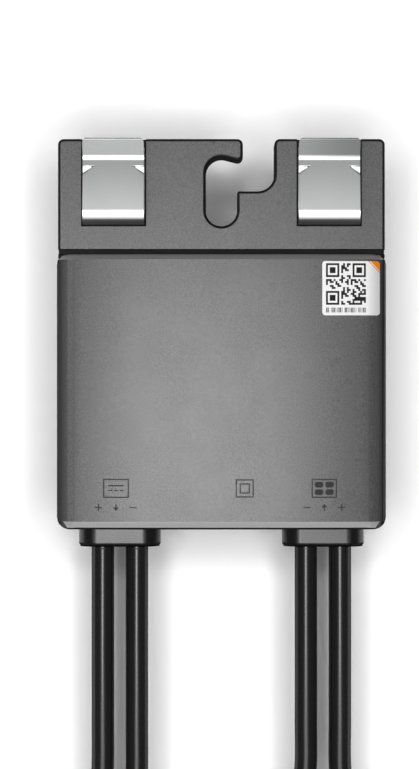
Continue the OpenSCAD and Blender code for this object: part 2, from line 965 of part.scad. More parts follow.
// Round sleeve along a line
module tube(line) {
    n = len(line);
    points = [
        for (i = [0:n - 1])
            let (t = heading(line, i), flat = cross(t, [0, 0, 1]),
                 side = flat / norm(flat), up = cross(side, t))
                for (k = [0:sides - 1])
                    line[i] + lead_r * (cos(360 * k / sides) * side + sin(360 * k / sides) * up)
    ];
    walls = [
        for (i = [0:n - 2], k = [0:sides - 1])
            let (a = i * sides + k, b = i * sides + (k + 1) % sides)
                [a, a + sides, b + sides, b]
    ];
    polyhedron(points, concat([[for (k = [0:sides - 1]) k]], walls,
                              [[for (k = [sides - 1:-1:0]) (n - 1) * sides + k]]), convexity = 6);
}

// Route points of a lead set out from its gland
function from_gland(x, route) = concat([[x, lead_end_y, gland_z], [x, (lead_end_y + y_mouth) / 2, gland_z]],
    [for (p = route) [x + p[0], y_mouth - p[1], p[2]]]);

// Route points of a lead set out from the left edge of its coil
function from_coil(route) = [for (p = route) [coil_left + p[0], coil_c[1] - ring_clear - p[1], p[2]]];

// Straight end of an output lead before its coil
function coil_entry(z) = [for (ahead = [coil_ahead, 0]) [coil_left, coil_c[1] + ring_clear + ahead, z]];

// Straight end of an output lead in its connector's nut
function nut_entry(y) = [for (x = [-4, -1, cable_in]) [out_conn_x + x, y, axis_z]];

module lead_out_plus() {
    color("#1a1a1a") {
        tube(line_through(concat(from_gland(lead_x[0], plus_in),
            coil_entry(layer_z[0]))));
        tube(line_through(concat([[coil_left, coil_c[1] - ring_clear, layer_z[1]]], from_coil(plus_out),
            nut_entry(out_plus_y))));
    }
}

module lead_out_minus() {
    color("#1a1a1a") {
        tube(line_through(concat(from_gland(lead_x[1], minus_in),
            coil_entry(layer_z[2]))));
        tube(line_through(concat([[coil_left, coil_c[1] - ring_clear, layer_z[3]]], from_coil(minus_out),
            nut_entry(out_minus_y))));
    }
}

// Short lead towards the solar module, led a little aside to make room for its connector
module pv_lead(x, side) {
    color("#1a1a1a")
        tube(line_through(concat(from_gland(x, [for (p = pv_in) [side * p[0] * in_conn_x, p[1], p[2]]]),
            [[x + side * in_conn_x, y_mouth - in_conn_s, axis_z],
             [x + side * in_conn_x, y_mouth - in_conn_s - cable_in, axis_z]])));
}

module lead_pv_minus() {
    pv_lead(lead_x[2], -1);
}

module lead_pv_plus() {
    pv_lead(lead_x[3], 1);
}

// Outer shape of two layers of turns
module coil(layer) {
    color("#1a1a1a")
        translate([coil_c[0], coil_c[1], coil_z + layer * layer_h])
            difference() {
                cylinder(r = ring_out, h = 2 * layer_h);
                translate([0, 0, -cut])
                    cylinder(r = ring_in, h = 2 * layer_h + 2 * cut);
            }
}

module coil_out_plus() {
    coil(0);
}

module coil_out_minus() {
    coil(2);
}

// Straps round both coils
module coil_ties() {
    across = ring_out - ring_in + 2 * tie_bulge;
    tall = 4 * layer_h + 2 * tie_fit;
    color("#101010")
        for (angle = tie_angles)
            translate([coil_c[0], coil_c[1], 0])
                rotate([0, 0, angle])
                    translate([(ring_in + ring_out) / 2, 0, coil_z + 2 * layer_h]) {
                        difference() {
                            cube([across + 2 * tie_t, tie_w, tall + 2 * tie_t], center = true);
                            cube([across, tie_w + 2 * cut, tall], center = true);
                        }
                        translate([across / 2 + tie_t + tie_head[2] / 2 - eps, 0, 0])
                            cube([tie_head[2], tie_head[1], tie_head[0]], center = true);
                    }
}

// Fluted nut that clamps the lead
module conn_nut() {
    color("#161616")
        difference() {
            cylinder(r = nut_r, h = nut_l);
            translate([0, 0, -cut])
                cylinder(r = lead_r + lead_fit, h = nut_l);
            translate([0, 0, nut_lip])
                cylinder(r = nut_bore_r, h = nut_l);
            for (k = [0:flutes - 1])
                rotate([0, 0, 360 * (k + 0.5) / flutes])
                    translate([nut_r + flute_out, 0, -cut])
                        cylinder(r = flute_r, h = nut_l + 2 * cut);
        }
}

// Rear half that both kinds of connector share
module conn_rear() {
    translate([0, 0, spigot_from])
        cylinder(r = spigot_r, h = collar_from - spigot_from + eps);
    translate([0, 0, collar_from])
        cylinder(r = collar_r, h = collar_to - collar_from);
}

module pin_shell() {
    color("#1e1e1e")
        difference() {
            union() {
                conn_rear();
                translate([0, 0, collar_to - eps])
                    cylinder(r = shroud_r, h = shell_l - collar_to);
            }
            translate([0, 0, spigot_from - cut])
                cylinder(r = contact_r + lead_fit, h = shell_l);
            translate([0, 0, shroud_from])
                cylinder(r = shroud_bore_r, h = shell_l);
            translate([-nut_r, -window_w / 2, window_from])
                cube([2 * nut_r, window_w, window_l]);
        }
}

module pin_contact() {
    color("#c8c8c8") {
        translate([0, 0, contact_from])
            cylinder(r = contact_r, h = shroud_from - contact_from);
        translate([0, 0, contact_from])
            cylinder(r = pin_r, h = pin_to - contact_from);
    }
}

module socket_shell() {
    color("#1e1e1e")
        difference() {
            union() {
                conn_rear();
                translate([0, 0, collar_to - eps])
                    cylinder(r = barrel_r, h = nose_from - collar_to);
                translate([0, 0, collar_to])
                    cylinder(r = nose_r_out, h = shell_l - collar_to);
                for (side = [-1, 1]) {
                    translate([side * (arm_out + arm_t / 2), 0, (arm_from + arm_to) / 2])
                        cube([arm_t, arm_w, arm_to - arm_from], center = true);
                    translate([side * (arm_out + arm_t + hook_out / 2 - eps), 0, arm_to - hook_l / 2])
                        cube([hook_out, arm_w, hook_l], center = true);
                }
            }
            translate([0, 0, spigot_from - cut])
                cylinder(r = contact_r + lead_fit, h = shell_l);
        }
}

module socket_contact() {
    color("#c8c8c8")
        difference() {
            translate([0, 0, contact_from])
                cylinder(r = contact_r, h = shell_l - 2 - contact_from);
            translate([0, 0, socket_from])
                cylinder(r = socket_bore_r, h = shell_l);
        }
}

// Rubber sleeve on the lead, and a ring at the foot of a socket's nose
module conn_seal(with_ring) {
    color("#2a2a2a") {
        difference() {
            translate([0, 0, wire_seal_from])
                cylinder(r = nut_bore_r - lead_fit, h = wire_seal_to - wire_seal_from);
            cylinder(r = lead_r + lead_fit, h = nut_l);
        }
        if (with_ring)
            translate([0, 0, nose_from + eps])
                difference() {
                    cylinder(r = ring_seal_r, h = ring_seal_l);
                    translate([0, 0, -cut])
                        cylinder(r = nose_r_out, h = ring_seal_l + 2 * cut);
                }
    }
}

// Place of a connector: along +X below the coils
module on_output(y) {
    translate([out_conn_x, y, axis_z])
        rotate([0, 90, 0])
            rotate([0, 0, 90])
                children();
}

// Place of a connector: along -Y at the end of a short lead
module on_input(x, side) {
    translate([x + side * in_conn_x, y_mouth - in_conn_s, axis_z])
        rotate([90, 0, 0])
            children();
}

module out_plus_shell() {
    on_output(out_plus_y)
        pin_shell();
}

module out_plus_nut() {
    on_output(out_plus_y)
        conn_nut();
}

module out_plus_contact() {
    on_output(out_plus_y)
        pin_contact();
}

module out_plus_seal() {
    on_output(out_plus_y)
        conn_seal(false);
}

module out_minus_shell() {
    on_output(out_minus_y)
        socket_shell();
}

module out_minus_nut() {
    on_output(out_minus_y)
        conn_nut();
}

module out_minus_contact() {
    on_output(out_minus_y)
        socket_contact();
}

module out_minus_seal() {
    on_output(out_minus_y)
        conn_seal(true);
}

module pv_minus_shell() {
    on_input(lead_x[2], -1)
        pin_shell();
}

module pv_minus_nut() {
    on_input(lead_x[2], -1)
        conn_nut();
}

module pv_minus_contact() {
    on_input(lead_x[2], -1)
        pin_contact();
}

module pv_minus_seal() {
    on_input(lead_x[2], -1)
        conn_seal(false);
}

module pv_plus_shell() {
    on_input(lead_x[3], 1)
        socket_shell();
}

module pv_plus_nut() {
    on_input(lead_x[3], 1)
        conn_nut();
}

module pv_plus_contact() {
    on_input(lead_x[3], 1)
        socket_contact();
}

module pv_plus_seal() {
    on_input(lead_x[3], 1)
        conn_seal(true);
}

front_housing();
rear_cover();
cover_seal();
cover_screws();
label();
clip_left();
clip_right();
gland_out_pair();
gland_pv_pair();
bush_out_pair();
bush_pv_pair();
circuit_board();
inductor_core();
inductor_winding();
film_capacitors();
can_capacitors();
switches_power();
bypass_diode();
controller_chip();
line_choke();
current_shunt();
chip_capacitors();
lead_terminals();
lead_cores();
potting();
lead_out_plus();
lead_out_minus();
lead_pv_minus();
lead_pv_plus();
coil_out_plus();
coil_out_minus();
coil_ties();
out_plus_shell();
out_plus_nut();
out_plus_contact();
out_plus_seal();
out_minus_shell();
out_minus_nut();
out_minus_contact();
out_minus_seal();
pv_minus_shell();
pv_minus_nut();
pv_minus_contact();
pv_minus_seal();
pv_plus_shell();
pv_plus_nut();
pv_plus_contact();
pv_plus_seal();
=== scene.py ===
"""Dresses the power optimizer: finishes, leads, marks and label, with its camera and light.

Lengths in the size fields are millimetres in the part's own frame; MM turns them into metres.
"""

import logging
import math
from collections.abc import Callable, Iterable, Sequence
from dataclasses import astuple, dataclass, field
from enum import Enum, IntEnum

import bmesh
import bpy
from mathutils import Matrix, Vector

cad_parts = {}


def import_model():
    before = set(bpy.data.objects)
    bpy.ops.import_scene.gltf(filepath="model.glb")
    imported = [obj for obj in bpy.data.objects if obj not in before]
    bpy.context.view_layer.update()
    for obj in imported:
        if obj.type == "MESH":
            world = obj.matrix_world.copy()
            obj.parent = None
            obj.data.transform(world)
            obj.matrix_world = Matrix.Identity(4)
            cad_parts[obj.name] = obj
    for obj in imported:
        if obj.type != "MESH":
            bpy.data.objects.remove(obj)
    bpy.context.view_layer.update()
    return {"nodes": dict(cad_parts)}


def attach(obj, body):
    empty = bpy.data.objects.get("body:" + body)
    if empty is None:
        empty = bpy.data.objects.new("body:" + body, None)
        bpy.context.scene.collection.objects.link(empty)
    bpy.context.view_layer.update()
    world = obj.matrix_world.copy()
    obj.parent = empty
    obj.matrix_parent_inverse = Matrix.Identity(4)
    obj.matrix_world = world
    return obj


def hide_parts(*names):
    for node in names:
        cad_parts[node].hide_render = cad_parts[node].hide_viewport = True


LOG = logging.getLogger("power_optimizer")
MM = 0.001
TINY = 0.02
BODY = "root"
LEADS = ("out_plus", "out_minus", "pv_minus", "pv_plus")
NOISE_SPAN = (0.3, 0.7)
MERGE = 0.002
FLAT_ANGLE = 0.4
SMOOTH_ANGLE = 32.0
FAR = 1000.0

Object = bpy.types.Object
Socket = bpy.types.NodeSocket
Edge = bmesh.types.BMEdge
Face = bpy.types.MeshPolygon
Colour = tuple[float, float, float]
Point = tuple[float, float, float]
Span = tuple[float, float]
Inputs = dict[str | int, object]
EdgePick = Callable[[Edge], bool]
FacePick = Callable[[Face], bool]


class Axis(IntEnum):
    """Axis of the part's frame."""

    X = 0
    Y = 1
    Z = 2


class Pick(Enum):
    """Kind of element that is selected in edit mode."""

    VERT = "vertex"
    EDGE = "edge"
    FACE = "face"


class Skin(IntEnum):
    """Material slot of the front housing."""

    FRONT = 0
    # The slots after the first hold painted light and shade: darker walls, lighter chamfers and shoulder,
    # near-black edges and darker side roundings.
    SMOOTH = 1
    CHAMFER = 2
    EDGE = 3
    ROUND = 4
    SHOULDER = 5


class Side(Enum):
    """Side of the box seen from the front."""

    LEFT = -1
    RIGHT = 1


class Level(Enum):
    """Coil of an output lead: the lower or the upper one."""

    LOWER = 0
    UPPER = 1


class Sign(Enum):
    """Polarity sign printed beside a lead."""

    PLUS = "plus"
    MINUS = "minus"


class Lit(Enum):
    """What a softbox lights: the whole object, or the box without clips, leads and glands."""

    OBJECT = "object"
    BOX = "box"


class NodeSheet:
    """Node tree of one material, with short calls that add and join nodes."""

    MIX_SHARE = 0
    MIX_COLOURS = (6, 7)
    MIX_RESULT = 2
    RANGES = ("From Min", "From Max", "To Min", "To Max")

    def __init__(self, name: str) -> None:
        """Starts an empty material.

        Args:
            name: Name of the material.
        """
        self.material = bpy.data.materials.new(name)
        self.material.use_nodes = True
        self.tree = self.material.node_tree
        self.tree.nodes.clear()

    def add(self, kind: str, inputs: Inputs | None = None, **settings: object) -> bpy.types.Node:
        """Adds a node.

        Args:
            kind: Type name of the node.
            inputs: Values of its input sockets, or the sockets that feed them.
            settings: Properties of the node.

        Returns:
            The new node.
        """
        node = self.tree.nodes.new(kind)
        for key, value in settings.items():
            setattr(node, key, value)
        for key, value in (inputs or {}).items():
            if isinstance(value, Socket):
                self.tree.links.new(value, node.inputs[key])
            else:
                node.inputs[key].default_value = value
        return node

    def place(self) -> Socket:
        """Returns the socket with the piece's own coordinates."""
        return self.add("ShaderNodeTexCoord").outputs["Object"]

    def texture(self, kind: str, output: str, scale: float, **settings: object) -> Socket:
        """Adds a texture on the piece's own coordinates, with so many repeats in a metre."""
        inputs = {"Vector": self.place(), "Scale": scale}
        return self.add(f"ShaderNodeTex{kind}", inputs, **settings).outputs[output]

    def noise(self, vector: Socket, size: float) -> Socket:
        """Adds noise on some coordinates, with grains of a size in millimetres."""
        inputs = {"Vector": vector, "Scale": 1.0 / (size * MM), "Detail": 2.0, "Roughness": 0.6}
        return self.add("ShaderNodeTexNoise", inputs).outputs["Fac"]

    def band(self, value: Socket, span: Span, to: Span = (0.0, 1.0)) -> Socket:
        """Maps a value smoothly from its own range to another, and returns the result's socket."""
        inputs = {"Value": value, **dict(zip(self.RANGES, (*span, *to)))}
        return self.add("ShaderNodeMapRange", inputs, interpolation_type="SMOOTHSTEP").outputs["Result"]

    def fade(self, axis: Axis, span: Span) -> Socket:
        """Adds a share that grows from 0 to 1 along an axis, between two places in millimetres."""
        place = self.add("ShaderNodeSeparateXYZ", {"Vector": self.place()}).outputs[axis.name]
        return self.band(place, (span[0] * MM, span[1] * MM))

    def blend(self, share: Socket, first: Socket | Colour, second: Socket | Colour) -> Socket:
        """Mixes two colours.

        Args:
            share: Socket with the share of the second colour.
            first: First colour or its socket.
            second: Second colour or its socket.

        Returns:
            The socket with the mixed colour.
        """
        inputs: Inputs = {self.MIX_SHARE: share}
        for key, value in zip(self.MIX_COLOURS, (first, second)):
            inputs[key] = value if isinstance(value, Socket) else (*value, 1.0)
        return self.add("ShaderNodeMix", inputs, data_type="RGBA").outputs[self.MIX_RESULT]

    def finish(self, inputs: Inputs) -> bpy.types.Material:
        """Adds the surface shader and its output.

        Args:
            inputs: Values and sockets of the surface shader.

        Returns:
            The finished material.
        """
        shader = self.add("ShaderNodeBsdfPrincipled", inputs)
        self.add("ShaderNodeOutputMaterial", {"Surface": shader.outputs["BSDF"]})
        return self.material


def grey(level: float) -> Colour:
    """Returns a grey of one level."""
    return (level, level, level)


def shaded(colour: Colour, share: float) -> Colour:
    """Returns a colour made lighter or darker by a share."""
    return tuple(min(1.0, part * share) for part in colour)


@dataclass(frozen=True)
class Finish:
    """Surface with a speckled colour, an uneven gloss and a fine grain.

    The painted shade, where there is one, is a darker colour painted as shade on faces turned away from the
    front. The rim is the share of the gloss that is left where the surface is seen at a low angle.
    """

    name: str
    colour: Colour
    roughness: float
    slot: str
    metallic: float = 0.0
    specular: float = 0.5
    speckle: float = 0.06
    grain: float = 0.4
    depth: float = 0.01
    stretch: Point = (1.0, 1.0, 1.0)
    painted_shade: Colour | None = None
    turn: Span = (0.2, 0.8)
    uneven: float = 0.03
    patch: float = 30.0
    rim: float = 1.0
    rim_turn: Span = (0.25, 0.65)

    def base(self, sheet: NodeSheet, noise: Socket) -> Socket:
        """Adds the speckled colour, and the painted shade on faces turned away from the front.

        Args:
            sheet: Node tree to add to.
            noise: Socket with the grain.

        Returns:
            The socket with the colour.
        """
        front = sheet.blend(
            noise, shaded(self.colour, 1 - self.speckle), shaded(self.colour, 1 + self.speckle))
        if self.painted_shade is None:
            return front
        # Painted shade: faces that turn away from the front take the darker colour.
        normal = sheet.add("ShaderNodeNewGeometry").outputs["Normal"]
        height = sheet.add("ShaderNodeSeparateXYZ", {"Vector": normal}).outputs["Z"]
        return sheet.blend(sheet.band(height, self.turn), self.painted_shade, front)

    def pattern(self, sheet: NodeSheet, base: Socket) -> Socket:
        """Returns the base colour with the finish's own pattern, here none."""
        return base

    def material(self) -> bpy.types.Material:
        """Gives the material, which is made when first asked for.

        Returns:
            The material.
        """
        made = bpy.data.materials.get(self.name)
        if made is not None:
            return made
        sheet = NodeSheet(self.name)
        mapping = sheet.add("ShaderNodeMapping", {"Vector": sheet.place(), "Scale": self.stretch})
        place = mapping.outputs["Vector"]
        raw = sheet.noise(place, self.grain)
        patches = sheet.noise(place, self.grain * self.patch)
        gloss = (self.roughness * (1 - self.uneven), self.roughness * (1 + self.uneven))
        bump = sheet.add("ShaderNodeBump", {"Height": raw, "Strength": 1.0, "Distance": self.depth * MM})
        specular: Socket | float = self.specular
        if self.rim < 1.0:
            facing = sheet.add("ShaderNodeLayerWeight", {"Blend": 0.5}).outputs["Facing"]
            specular = sheet.band(facing, self.rim_turn, (self.specular, self.specular * self.rim))
        return sheet.finish({
            "Base Color": self.pattern(sheet, self.base(sheet, sheet.band(raw, NOISE_SPAN))),
            "Roughness": sheet.band(patches, NOISE_SPAN, gloss),
            "Metallic": self.metallic,
            "Specular IOR Level": specular,
            "Normal": bump.outputs["Normal"],
        })


@dataclass(frozen=True)
class SteelWithPaintedLight(Finish):
    """Stainless strip with painted light: a painted reflection that dims towards the pinch, and painted shade
    below the bend and on the right lip.
    """

    # Painted reflection on the tongue: brightest by the bend (near) and dimmer by the pinch (far).
    near: Colour = (0.9, 0.91, 0.91)
    far: Colour = (0.67, 0.68, 0.68)
    # Painted shade below the bend, where the strip goes down into its pocket.
    pocket_shade: Colour = (0.44, 0.44, 0.44)
    # Painted shade on the lip, which darkens towards the right clip.
    lip_shade: Colour = (0.3, 0.305, 0.305)
    lip_x: Span = (0.0, 40.0)
    tongue_y: Span = (28.0, 50.0)
    pinch_y: Span = (45.3, 46.0)
    bend_y: Span = (29.5, 30.0)

    def pattern(self, sheet: NodeSheet, base: Socket) -> Socket:
        """Adds the painted shade of the lip, the painted reflection of the tongue and the painted shade below
        the bend.

        Args:
            sheet: Node tree to add to.
            base: Socket with the colour of the left lip.

        Returns:
            The socket with the colour.
        """
        # The lip's painted shade, the tongue's painted reflection and the painted shade below the bend.
        lip = sheet.blend(sheet.fade(Axis.X, self.lip_x), base, self.lip_shade)
        tongue = sheet.blend(sheet.fade(Axis.Y, self.tongue_y), self.near, self.far)
        strip = sheet.blend(sheet.fade(Axis.Y, self.pinch_y), tongue, lip)
        return sheet.blend(sheet.fade(Axis.Y, self.bend_y), self.pocket_shade, strip)


@dataclass(frozen=True)
class FilmWithPaintedShade(Finish):
    """White film with painted shade: it is greyer where it nears the box's right edge."""

    # Painted shade: the grey that the film takes near the box's right edge.
    edge: Colour = (0.7, 0.7, 0.7)
    shade_x: Span = (36.5, 42.0)

    def pattern(self, sheet: NodeSheet, base: Socket) -> Socket:
        """Returns the base colour, greyer towards the edge as painted shade."""
        return sheet.blend(sheet.fade(Axis.X, self.shade_x), base, self.edge)


@dataclass(frozen=True)
class BoardMask(Finish):
    """Solder mask of the circuit board, with paler lines where copper runs under it."""

    track: Colour = (0.03, 0.2, 0.08)
    track_span: Span = (0.05, 0.1)
    pitch: float = 2.4

    def pattern(self, sheet: NodeSheet, base: Socket) -> Socket:
        """Returns the base colour with copper lines."""
        lines = sheet.texture(
            "Voronoi", "Distance", 1.0 / (self.pitch * MM), distance="CHEBYCHEV", feature="DISTANCE_TO_EDGE")
        return sheet.blend(sheet.band(lines, self.track_span), self.track, base)


@dataclass(frozen=True)
class Winding(Finish):
    """Enamelled copper wire wound in turns one above the other."""

    wire: float = 1.0
    gap: float = 0.2
    gap_span: Span = (0.0, 0.4)

    def pattern(self, sheet: NodeSheet, base: Socket) -> Socket:
        """Returns the base colour with dark lines between the turns."""
        turns = sheet.texture("Wave", "Fac", math.pi / (10 * self.wire * MM), bands_direction="Z")
        return sheet.blend(sheet.band(turns, self.gap_span), shaded(self.colour, self.gap), base)


class Finishes:
    """Every finish of the optimizer."""

    # Painted shade on the housing's walls: a darker copy of its plastic.
    SMOOTH = Finish("smooth_plastic", grey(0.022), 0.42, "housing", specular=0.4, speckle=0.1, grain=0.5,
                    depth=0.006, rim=0.02)
    # Painted shade along the rounded edges and in the recesses: a near-black copy of the housing plastic.
    EDGE = Finish("edge_plastic", grey(0.006), 0.5, "housing", specular=0.2, grain=0.6, depth=0.002, rim=0.02)
    # Its darker colour on faces turned away from the front is painted shade.
    FRONT = Finish("grained_plastic", grey(0.076), 0.28, "housing", speckle=0.45, grain=0.3, depth=0.0105,
                   painted_shade=grey(0.018), turn=(0.6, 0.998))
    # Painted highlight on the top and bottom chamfers: a much lighter copy of the housing plastic.
    CHAMFER = Finish("chamfer_plastic", grey(0.32), 0.4, "housing", speckle=0.04, grain=0.5, depth=0.002)
    # Painted light on the box's upper shoulder: a lighter copy of the housing plastic.
    SHOULDER = Finish("shoulder_plastic", grey(0.24), 0.45, "housing", specular=0.3, speckle=0.04, grain=0.5,
                      depth=0.002)
    # Painted shade across the rounded sides of the box, darker as they turn away from the front.
    ROUND = Finish("round_plastic", grey(0.095), 0.5, "housing", specular=0.1, speckle=0.15,
                   painted_shade=grey(0.012), turn=(0.48, 0.97))
    # Its darker colour on the gland's rounded ends is painted shade.
    GLAND = Finish("gland_plastic", grey(0.062), 0.28, "gland", speckle=0.16, grain=0.42, depth=0.012,
                   painted_shade=grey(0.01), turn=(0.955, 0.999))
    COVER = Finish("cover_plastic", grey(0.05), 0.5, "cover", specular=0.4, speckle=0.14, grain=0.42,
                   depth=0.012)
    SEAL = Finish("seal_rubber", grey(0.014), 0.7, "seal", grain=0.5, depth=0.006)
    SCREW = Finish("screw_steel", (0.56, 0.56, 0.55), 0.3, "screw", metallic=1.0, grain=0.2, depth=0.002)
    # Painted shade: dark steel on the top end of each lip, where its edge lies in shade.
    END_SHADE = Finish("cut_steel", grey(0.06), 0.35, "spring_steel", metallic=1.0, grain=0.25, depth=0.001)
    # Steel with painted reflections and painted shade.
    STEEL = SteelWithPaintedLight("bright_steel", (0.7, 0.71, 0.71), 0.29, "spring_steel", metallic=1.0, speckle=0.03,
                        grain=0.25, depth=0.0008, stretch=(1.0, 0.12, 1.0))
    # Film with painted shade near the right edge.
    FILM = FilmWithPaintedShade("label_film", grey(0.98), 0.3, "label", speckle=0.012, grain=0.5, depth=0.001)
    INK = Finish("mark_ink", grey(0.022), 0.5, "label", specular=0.25, speckle=0.1, grain=0.3, depth=0.002)
    PRINT = Finish("label_ink", (0.012, 0.01, 0.009), 0.5, "label", specular=0.15, speckle=0.12, grain=0.2,
                   depth=0.001)
    CORNER = Finish("corner_ink", (0.92, 0.25, 0.006), 0.45, "label", specular=0.25, speckle=0.05, grain=0.3,
                    depth=0.001)
    SHEATH = Finish("lead_sheath", grey(0.014), 0.25, "sheath", specular=0.56, speckle=0.1, grain=1.2,
                    depth=0.001, rim=0.03)
    STRAP = Finish("strap_nylon", grey(0.012), 0.4, "strap", grain=0.6, depth=0.004)
    SHELL = Finish("connector_plastic", grey(0.016), 0.42, "connector", speckle=0.12, depth=0.006)
    CONTACT = Finish("tinned_contact", (0.7, 0.69, 0.66), 0.28, "contact", metallic=1.0, grain=0.3,
                     depth=0.001)
    BOARD = BoardMask("board_mask", (0.012, 0.1, 0.035), 0.4, "board", depth=0.004)
    FERRITE = Finish("core_ferrite", (0.045, 0.045, 0.05), 0.6, "ferrite", speckle=0.2, grain=0.3)
    COPPER = Winding("wound_copper", (0.55, 0.2, 0.07), 0.35, "copper", metallic=0.8)
    CORE_WIRE = Winding("lead_copper", (0.6, 0.26, 0.1), 0.35, "copper", metallic=1.0, wire=0.4)
    FILM_CASE = Finish("capacitor_case", (0.5, 0.4, 0.06), 0.45, "film_case", grain=0.5)
    CAN = Finish("capacitor_sleeve", (0.02, 0.024, 0.035), 0.3, "can", grain=0.8)
    CHIP = Finish("chip_resin", grey(0.018), 0.55, "chip", speckle=0.2, grain=0.2)
    CHOKE = Winding("choke_enamel", (0.03, 0.13, 0.07), 0.35, "choke", wire=0.8)
    CERAMIC = Finish("chip_ceramic", (0.42, 0.32, 0.19), 0.5, "ceramic", grain=0.3)
    TIN = Finish("solder_tin", (0.62, 0.6, 0.55), 0.38, "tin", metallic=1.0, grain=0.5)
    COMPOUND = Finish("potting_resin", (0.06, 0.065, 0.075), 0.35, "compound", grain=2.0)


@dataclass(frozen=True)
class Rounding:
    """Rounded edges: which ones, how wide, in how many steps and in which material slot."""

    pick: EdgePick
    width: float
    steps: int = 2
    slot: int = -1

    def apply(self, obj: Object) -> None:
        """Rounds the edges of an object.

        Args:
            obj: Object to edit.
        """
        mesh = edit(obj, Pick.EDGE)
        mesh.normal_update()
        for edge in mesh.edges:
            if len(edge.link_faces) == 2 and self.pick(edge):
                edge.select_set(True)
        bmesh.update_edit_mesh(obj.data)
        bpy.ops.mesh.bevel(
            offset=self.width * MM, offset_type="OFFSET", segments=self.steps, profile=0.5, affect="EDGES",
            clamp_overlap=False, loop_slide=False, material=self.slot)
        leave()


@dataclass(frozen=True)
class Zone:
    """Faces whose middle in millimetres, with x without its sign, and whose normal lie within limits."""

    x: Span = (-FAR, FAR)
    y: Span = (-FAR, FAR)
    z: Span = (-FAR, FAR)
    turn_y: Span = (-FAR, FAR)
    turn_z: Span = (-FAR, FAR)

    def holds(self, face: Face) -> bool:
        """Tells whether a face lies within all limits."""
        values = (abs(face.center.x / MM), *(face.center / MM).yz, *face.normal.yz)
        return all(low < value < high for value, (low, high) in zip(values, astuple(self)))


def add(name: str, data: bpy.types.ID) -> Object:
    """Adds an object to the scene.

    Args:
        name: Name of the object.
        data: Its mesh, curve, lamp or camera.

    Returns:
        The new object, at the origin.
    """
    obj = bpy.data.objects.new(name, data)
    bpy.context.scene.collection.objects.link(obj)
    return obj


def only(obj: Object) -> None:
    """Makes an object the only selected one and the active one.

    Args:
        obj: Object to select.
    """
    bpy.ops.object.select_all(action="DESELECT")
    obj.select_set(True)
    bpy.context.view_layer.objects.active = obj


def edit(obj: Object, pick: Pick = Pick.VERT, whole: bool = False) -> bmesh.types.BMesh:
    """Opens an object in edit mode.

    Args:
        obj: Object to edit.
        pick: Kind of element that is selected.
        whole: True to start with everything selected, False with nothing.

    Returns:
        Its mesh, for picking faces and edges.
    """
    only(obj)
    bpy.ops.object.mode_set(mode="EDIT")
    bpy.ops.mesh.select_mode(type=pick.name)
    bpy.ops.mesh.select_all(action="SELECT" if whole else "DESELECT")
    return bmesh.from_edit_mesh(obj.data)


def leave() -> None:
    """Goes back to object mode."""
    bpy.ops.object.mode_set(mode="OBJECT")


def copy_of(node: str, name: str) -> Object:
    """Copies a CAD node as a merged mesh with whole flat faces.

    Args:
        node: Name of the CAD node.
        name: Name of the new piece.

    Returns:
        The new object, at the origin.
    """
    obj = add(name, bpy.data.objects[node].data.copy())
    obj.data.materials.clear()
    edit(obj, whole=True)
    bpy.ops.mesh.remove_doubles(threshold=MERGE * MM)
    bpy.ops.mesh.dissolve_limited(angle_limit=math.radians(FLAT_ANGLE))
    leave()
    if obj.data.has_custom_normals:
        bpy.ops.mesh.customdata_custom_splitnormals_clear()
    return obj


def smooth(obj: Object, angle: float = SMOOTH_ANGLE, flat: FacePick | None = None) -> None:
    """Shades an object smooth, with the normals weighted by the size of the faces.

    Args:
        obj: Object to shade.
        angle: Edges sharper than this, in degrees, stay sharp.
        flat: Test that says whether a face is shaded flat.
    """
    only(obj)
    bpy.ops.object.shade_smooth_by_angle(angle=math.radians(angle))
    for face in obj.data.polygons:
        if flat is not None and flat(face):
            face.use_smooth = False
    weights = obj.modifiers.new("flat_faces", "WEIGHTED_NORMAL")
    weights.keep_sharp = True
    weights.weight = 100
    bpy.ops.object.modifier_apply(modifier=weights.name)


def paint(obj: Object, finishes: Sequence[Finish]) -> None:
    """Gives an object its finishes as material slots.

    Args:
        obj: Object to paint.
        finishes: Its finishes.
    """
    obj.data.materials.clear()
    for finish in finishes:
        obj.data.materials.append(finish.material())


def assign(obj: Object, index: int, pick: FacePick) -> None:
    """Gives some faces a material.

    Args:
        obj: Object to paint.
        index: Material index.
        pick: Test that says whether a face is taken.
    """
    for face in obj.data.polygons:
        if pick(face):
            face.material_index = index


def stand_for(obj: Object, *nodes: str) -> None:
    """Lets a piece ride on the body and stand for CAD nodes.

    Args:
        obj: The piece.
        nodes: Names of the nodes.
    """
    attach(obj, BODY)
    if nodes:
        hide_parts(*nodes)
    LOG.info("piece %s: %d faces", obj.name, len(obj.data.polygons) if obj.type == "MESH" else 0)


def dress(node: str, name: str, finishes: Sequence[Finish], *roundings: Rounding) -> Object:
    """Turns a CAD node into a piece with finishes and rounded edges.

    Args:
        node: Name of the CAD node.
        name: Name of the piece.
        finishes: Its finishes.
        roundings: Edges to round, in order.

    Returns:
        The piece.
    """
    obj = copy_of(node, name)
    paint(obj, finishes)
    for rounding in roundings:
        rounding.apply(obj)
    smooth(obj)
    stand_for(obj, node)
    return obj


def sharp(edge: Edge, degrees: float = 60.0) -> bool:
    """Tells whether an edge is an outer edge sharper than an angle."""
    return edge.is_convex and edge.calc_face_angle(0.0) > math.radians(degrees)


def middle(edge: Edge) -> Vector:
    """Returns an edge's middle in millimetres."""
    return (edge.verts[0].co + edge.verts[1].co) / (2 * MM)


def lies_at(edge: Edge, axis: Axis, level: float) -> bool:
    """Tells whether both ends of an edge lie at a level along an axis, in millimetres."""
    return all(abs(vert.co[axis] / MM - level) < TINY for vert in edge.verts)


